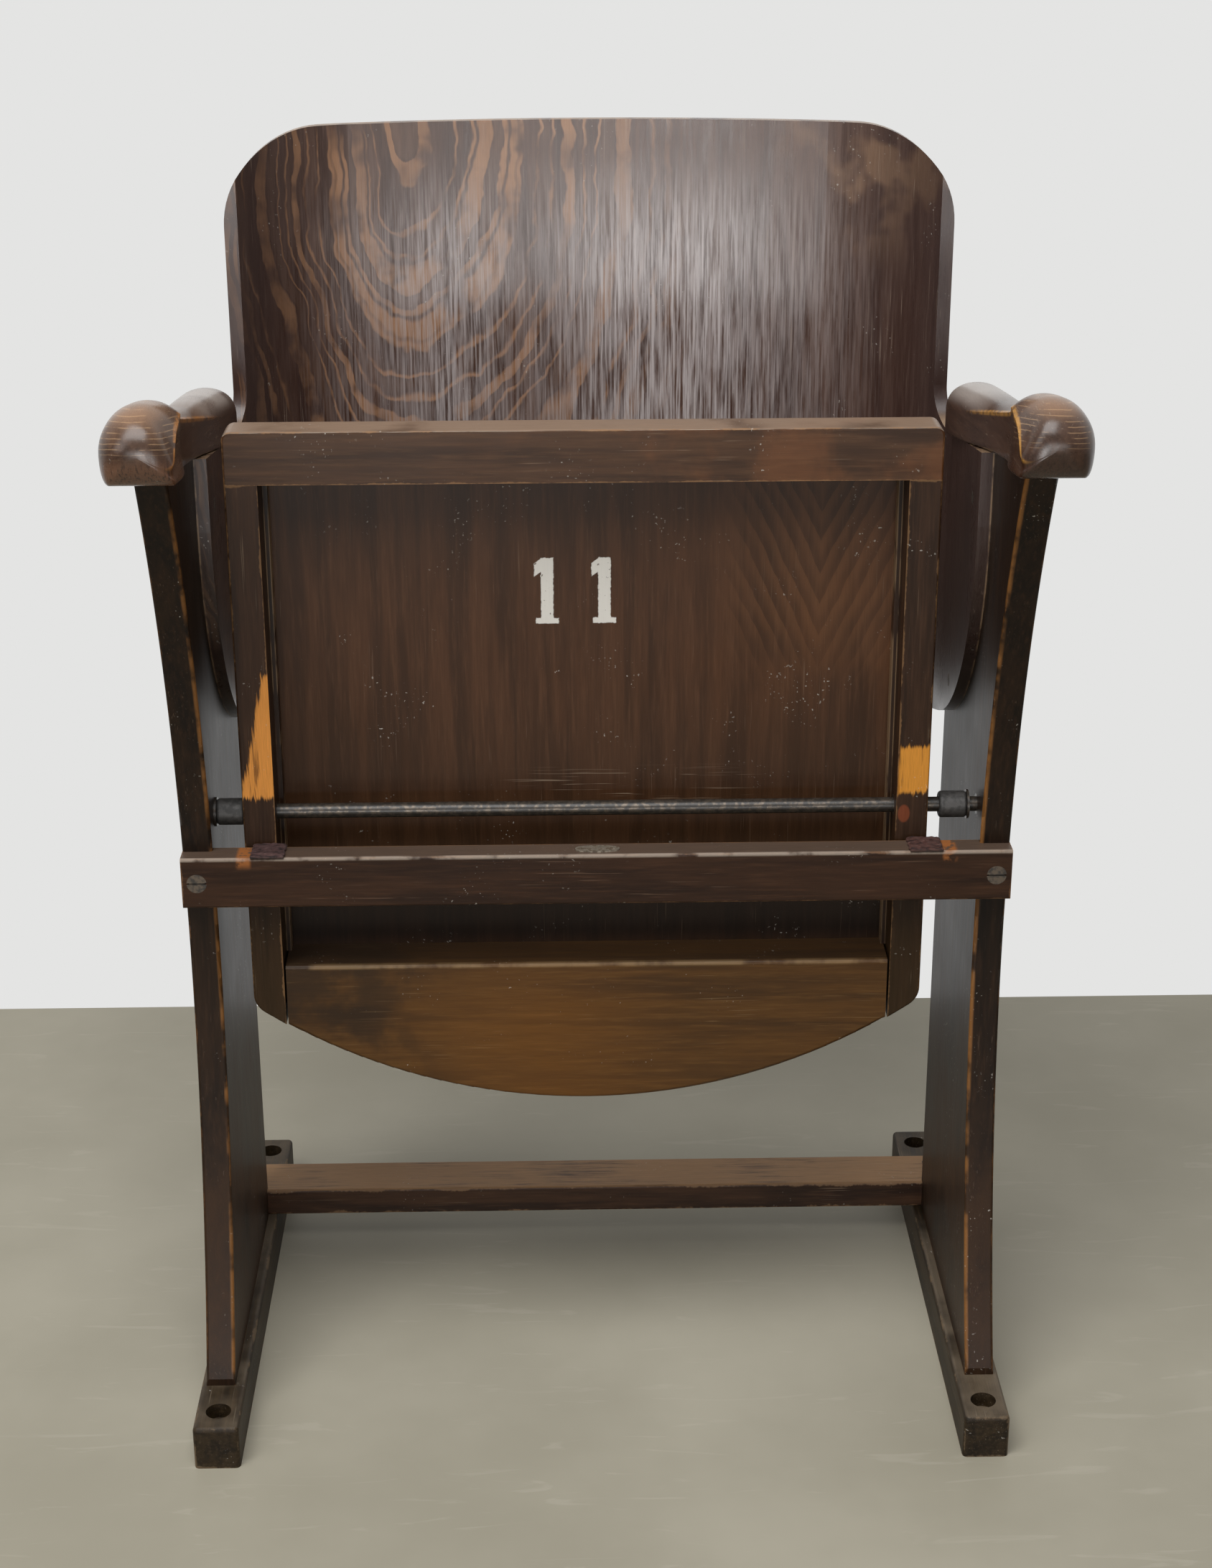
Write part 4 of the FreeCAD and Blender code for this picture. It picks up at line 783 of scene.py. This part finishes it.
# The arm, in millimetres: depth behind the runner's front end, and how far from the middle of the
# whole seat its sides are there, or how high it is there
ARM_FRONT = -22
ARM_REAR = 257
ARM_MIDDLE = 267
ARM_INNER = ((15, 245), (30, 246), (75, 253), (130, 252), (200, 243), (235, 240), (257, 240))
ARM_OUTER = ((15, 290), (30, 288), (75, 280), (130, 281), (200, 282), (257, 282))
ARM_HEIGHT = ((15, 47), (30, 47), (75, 38), (130, 33), (200, 35), (235, 36), (257, 36))
# Share of the height up to which the inner side is cut flat, and how crisp the cut's edge is
ARM_FLAT = (
    (-22, 0.12), (-12, 0.34), (0, 0.6), (20, 0.76), (75, 0.82), (130, 0.78), (190, 0.6), (235, 0.5)
)
ARM_CRISP = ((-22, 0.2), (-8, 0.9), (20, 1.0), (140, 1.0), (205, 0.15), (235, 0.0))
# How far from its front the nose curves down, and from its rear the knob
NOSE_REACH = 37
KNOB_REACH = 20
# How far the arm sinks into its side panel, so that no light shows between them
ARM_SUNK = 0.2
# The size of the arm's section, and how far from the crisp edge its stain is rubbed off
SECTION_SIZE = 45
EDGE_REACH = 3.2
EDGE_LAYER = "crisp_edge"


def rounded_off(share, power=2.0):
    """From 0 at a blunt end to 1 where the rounding stops. A higher power is squarer."""
    return max(0.0, 1 - (1 - min(share, 1.0)) ** power) ** (1 / power)


def arm_limits(depth):
    """Inner, outer, lower and upper limit of the arm at a depth."""
    height = eased(depth, ARM_HEIGHT)
    middle = height * 0.4
    ahead = depth - ARM_FRONT
    behind = ARM_REAR - depth
    upper = min(rounded_off(ahead / NOSE_REACH), rounded_off(behind / KNOB_REACH))
    lower = min(rounded_off(ahead / 13), rounded_off(behind / 7))
    inner = min(rounded_off(ahead / 12, 2.4), rounded_off(behind / 15))
    outer = min(rounded_off(ahead / 22, 2.4), rounded_off(behind / 17))
    return (
        ARM_MIDDLE - (ARM_MIDDLE - eased(depth, ARM_INNER)) * inner,
        ARM_MIDDLE + (eased(depth, ARM_OUTER) - ARM_MIDDLE) * outer,
        middle - middle * lower,
        middle + (height - middle) * upper,
    )


def bent(points, share):
    """A point on the cubic curve through the ends of four points."""
    rest = 1 - share
    weights = (rest ** 3, 3 * rest * rest * share, 3 * rest * share * share, share ** 3)
    across = sum(weight * point[0] for weight, point in zip(weights, points))
    up = sum(weight * point[1] for weight, point in zip(weights, points))
    return across, up


def arm_outline(flat, crisp):
    """The section from its lower inner corner up, over and down: across and up, from 0 to 1.

    Also gives the number of the point at the crisp edge.
    """
    start = (0.0, flat)
    lean = (crisp * 0.12, (1 - flat) * (0.75 - crisp * 0.25))
    crown = (0.46, 1.0)
    side = (1.0, 0.42)
    foot = (0.9, 0.0)
    over_inner = [start, (start[0] + lean[0], start[1] + lean[1]), (0.24, 1.0), crown]
    over_outer = [crown, (0.76, 1.0), (1.0, 0.78), side]
    under_outer = [side, (1.0, 0.2), (0.97, 0.02), foot]
    corner_size = 0.05
    points = []
    for turn in np.linspace(0, math.pi / 2, 4):
        points.append((corner_size * (1 - math.sin(turn)), corner_size * (1 - math.cos(turn))))
    for share in np.linspace(0.08, 1, 12):
        rise = 1 - (1 - share) ** 1.7
        hollow = 0.035 * math.sin(math.pi * rise) * crisp
        points.append((hollow, corner_size + (flat - corner_size) * rise))
    corner = len(points) - 1
    points += [bent(over_inner, share ** 1.5) for share in np.linspace(0, 1, 17)[1:]]
    points += [bent(over_outer, share) for share in np.linspace(0, 1, 17)[1:]]
    points += [bent(under_outer, share) for share in np.linspace(0, 1, 13)[1:]]
    points += [(across, 0.0) for across in np.linspace(foot[0], corner_size, 9)[1:-1]]
    return points, corner


def arm_depths():
    """Where the arm's sections stand: closer together at its rounded ends."""
    blunt = 0.02
    start = ARM_FRONT + blunt
    turns = np.linspace(0, math.pi / 2, 26)
    nose = [start + NOSE_REACH * (1 - math.cos(turn)) for turn in turns]
    middle = list(np.linspace(nose[-1], ARM_REAR - KNOB_REACH, 52)[1:])
    turns = np.linspace(0, math.pi / 2, 20)[1:]
    knob = [middle[-1] + (KNOB_REACH - blunt) * math.sin(turn) for turn in turns]
    return nose + middle + knob


def arm(side):
    """A carved arm with a broad nose, a waist that is cut flat on the inside, and a domed knob."""
    hand = -1 if side == "left" else 1
    build = bmesh.new()
    edge_layer = build.verts.layers.float.new(EDGE_LAYER)
    loops = []
    for depth in arm_depths():
        inner, outer, lower, upper = arm_limits(depth)
        crisp = eased(depth, ARM_CRISP)
        points, corner = arm_outline(eased(depth, ARM_FLAT), crisp)
        foot = ARM_FOOT - (depth - ARM_START) * ARM_FALL - ARM_SUNK
        loop = []
        for across, up in points:
            wide = inner + (outer - inner) * across
            high = foot + lower + (upper - lower) * up
            vertex = build.verts.new((mm(wide * hand), mm(RUNNER_FRONT + depth), mm(high)))
            aside = math.dist((across, up), points[corner]) * SECTION_SIZE
            vertex[edge_layer] = crisp * math.exp(-((aside / EDGE_REACH) ** 2))
            loop.append(vertex)
        loops.append(loop)
    for ahead, behind in zip(loops, loops[1:]):
        for number in range(len(ahead)):
            following = (number + 1) % len(ahead)
            corners = (ahead[number], ahead[following], behind[following], behind[number])
            build.faces.new(corners)
    build.faces.new(loops[0])
    build.faces.new(loops[-1])
    bmesh.ops.recalc_face_normals(build, faces=build.faces)
    seed = 14.0 if side == "left" else 15.0
    object_of(f"{side}_arm", build, arm_wood(side, seed), f"{side}_armrest")


# The leather's thickness, the share of it that is modelled, and how ragged its long edges are
PAD_THICKNESS = mm(3.3)
PAD_FULL = 0.99
PAD_RAGGED = mm(0.35)


def pad_path(low, high):
    """Points of the pad's outer face with their outward way: along the rail's top and down it."""
    bend = PAD_THICKNESS + mm(0.8)
    depths = np.linspace(low.y - mm(0.6), high.y - bend, 26)
    path = [(depth, high.z, 0.0, 1.0) for depth in depths]
    for turn in np.linspace(0, math.pi / 2, 10)[1:]:
        way = (math.sin(turn), math.cos(turn))
        path.append((high.y - bend + bend * way[0], high.z - bend + bend * way[1], *way))
    path += [(high.y, height, 1.0, 0.0) for height in np.linspace(high.z - bend, low.z, 22)[1:]]
    return path


def creased(across, along, hand):
    """How far the leather sinks at a place, both from 0 to 1, as a share of its thickness."""
    folds = math.sin(along * 31 + math.sin(across * 5 + hand) * 1.7) * 0.06
    ripple = math.sin(across * 23 + along * 9 + hand * 2) * 0.05
    crossing = math.sin(across * 41 - along * 17) * 0.03
    border = min(across, 1 - across, along * 1.3, (1 - along) * 2)
    return 0.14 + folds + ripple + crossing + 0.3 * math.exp(-border / 0.035)


def join_rows(build, row, other):
    """Faces between two rows of corners."""
    for number in range(len(row) - 1):
        build.faces.new((row[number], row[number + 1], other[number + 1], other[number]))


def rail_pad(side):
    """A strip of thick leather over the rail, creased, with soft ragged edges."""
    hand = -1 if side == "left" else 1
    low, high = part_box(f"{side}_rail_pad")
    path = pad_path(low, high)
    shares = np.linspace(0, 1, 26)
    build = bmesh.new()
    outer = []
    inner = []
    for number, (depth, height, back, up) in enumerate(path):
        along = number / (len(path) - 1)
        first = low.x + PAD_RAGGED * math.sin(along * 37 + hand)
        last = high.x + PAD_RAGGED * math.sin(along * 29 + 2 * hand)
        rows = ([], [])
        for across in shares:
            wide = first + (last - first) * across
            for row, share in zip(rows, (creased(across, along, hand), PAD_FULL)):
                sunk = PAD_THICKNESS * share
                row.append(build.verts.new((wide, depth - back * sunk, height - up * sunk)))
        outer.append(rows[0])
        inner.append(rows[1])
    for rows in (outer, inner):
        for row, following in zip(rows, rows[1:]):
            join_rows(build, row, following)
    for rows in zip(outer, outer[1:], inner[1:], inner):
        for end in (0, -1):
            build.faces.new([row[end] for row in rows])
    for end in (0, -1):
        join_rows(build, outer[end], inner[end])
    bmesh.ops.recalc_face_normals(build, faces=build.faces)
    node = f"{side}_rail_pad"
    pad = object_of(f"{side}_leather_pad", build, leather(side), node)


# Camera, lights and floor. The picture is upright, so the sensor's size is that of its height

IMAGE_HEIGHT = 2184
FOCAL_PIXELS = 3557.9
SENSOR = 36
CAMERA_PLACE = Vector((mm(-24.06), mm(-1654.16), mm(1079.69)))
CAMERA_PITCH = math.radians(21.68)
CAMERA_YAW = math.radians(1.10)
CAMERA_ROLL = math.radians(-0.19)


def set_camera():
    """The camera of the photograph."""
    lens = bpy.data.cameras.new("camera")
    lens.sensor_width = SENSOR
    lens.lens = FOCAL_PIXELS * SENSOR / IMAGE_HEIGHT
    item = bpy.data.objects.new("camera", lens)
    bpy.context.scene.collection.objects.link(item)
    level = math.cos(CAMERA_PITCH)
    east = math.sin(CAMERA_YAW)
    north = math.cos(CAMERA_YAW)
    forward = Vector((east * level, north * level, -math.sin(CAMERA_PITCH)))
    right = Vector((north, -east, 0))
    up = right.cross(forward)
    turned_right = right * math.cos(CAMERA_ROLL) + up * math.sin(CAMERA_ROLL)
    turned_up = up * math.cos(CAMERA_ROLL) - right * math.sin(CAMERA_ROLL)
    axes = Matrix((turned_right, turned_up, -forward)).transposed()
    item.matrix_world = Matrix.Translation(CAMERA_PLACE) @ axes.to_4x4()
    bpy.context.scene.camera = item


# Each soft light: its place, what it faces, width, height and power. The gloss lights light no
# surface and only show in its polish
ROOM_LIGHTS = {
    "overhead": ((-0.4, -1.2, 2.6), (0, 0, 0.4), 2.0, 1.6, 58),
    "front_left": ((-1.8, -1.9, 1.6), (0, 0, 0.4), 1.2, 1.2, 10),
}
GLOSS_LIGHTS = {
    "low_window": ((-0.22, -1.95, 0.45), (0, 0.15, 0.75), 0.5, 0.22, 5),
    "side_window": ((0.41, -1.95, 0.45), (0, 0.15, 0.75), 0.2, 0.22, 1.4),
    "low_glow": ((0, -2.3, 0.62), (0, 0.15, 0.75), 2.2, 0.5, 9),
}


def softbox(name, place, aim, width, height, power):
    """A soft light that the camera doesn't see."""
    light = bpy.data.lights.new(name, "AREA")
    light.shape = "RECTANGLE"
    light.size = width
    light.size_y = height
    light.energy = power
    item = bpy.data.objects.new(name, light)
    bpy.context.scene.collection.objects.link(item)
    item.location = place
    item.rotation_euler = (Vector(aim) - Vector(place)).to_track_quat("-Z", "Y").to_euler()
    item.visible_camera = False
    return item


# Where the floor ends behind the seat, against the pale background, and its size
FLOOR_END = 0.506
FLOOR_SIZE = 6


def set_floor():
    """A plain, slightly mottled floor that keeps the shadow."""
    middle = FLOOR_END - FLOOR_SIZE / 2
    bpy.ops.mesh.primitive_plane_add(size=FLOOR_SIZE, location=(0, middle, 0))
    floor = bpy.context.active_object
    floor.name = "floor"
    surface = Finish("floor_paint")
    blotches = surface.cloud(0.3, 1.0, 5).step(0.3, 0.7)
    colour = surface.mix(blotches, srgb(164, 158, 140), srgb(180, 174, 156))
    streaks = surface.noise(surface.scaled((9, 60, 1), (3, 1, 0)), detail=4, distortion=1.5)
    colour = surface.mix(streaks.step(0.6, 0.7) * 0.25, colour, srgb(196, 190, 174))
    floor.data.materials.append(surface.set(Base_Color=colour, Roughness=0.55))


def set_world():
    """A pale studio: what the camera and mirrors see of it, and the fill light that it gives."""
    world = bpy.data.worlds.new("studio")
    bpy.context.scene.world = world
    world.use_nodes = True
    world.node_tree.nodes.clear()
    sky = Nodes(world.node_tree)
    direct = sky.node("ShaderNodeLightPath", {}, {}, "Is Camera Ray")
    mirrored = sky.node("ShaderNodeLightPath", {}, {}, "Is Glossy Ray")
    through = sky.node("ShaderNodeLightPath", {}, {}, "Is Transmission Ray")
    way = sky.node("ShaderNodeTexCoord", {}, {}, "Generated")
    behind = sky.node("ShaderNodeSeparateXYZ", {}, {"Vector": way}, "Y").step(-0.2, 0.3)
    seen = sky.node("ShaderNodeBackground", {}, {"Color": srgb(228, 228, 227), "Strength": 1.0})
    fill = sky.node("ShaderNodeBackground", {}, {"Color": (1, 1, 1, 1), "Strength": 0.24})
    share = direct + mirrored * (behind * 0.85 + 0.15) + through
    choice = sky.node("ShaderNodeMixShader", {}, [share.kept(), fill, seen])
    sky.node("ShaderNodeOutputWorld", {}, {"Surface": choice})


def set_lights():
    for name, values in ROOM_LIGHTS.items():
        softbox(name, *values)
    for name, values in GLOSS_LIGHTS.items():
        softbox(name, *values).visible_diffuse = False


dress_wood()
dress_metal()
for side in ("left", "right"):
    arm(side)
    rail_pad(side)
set_camera()
set_floor()
set_world()
set_lights()
bpy.context.scene.view_settings.view_transform = "Standard"
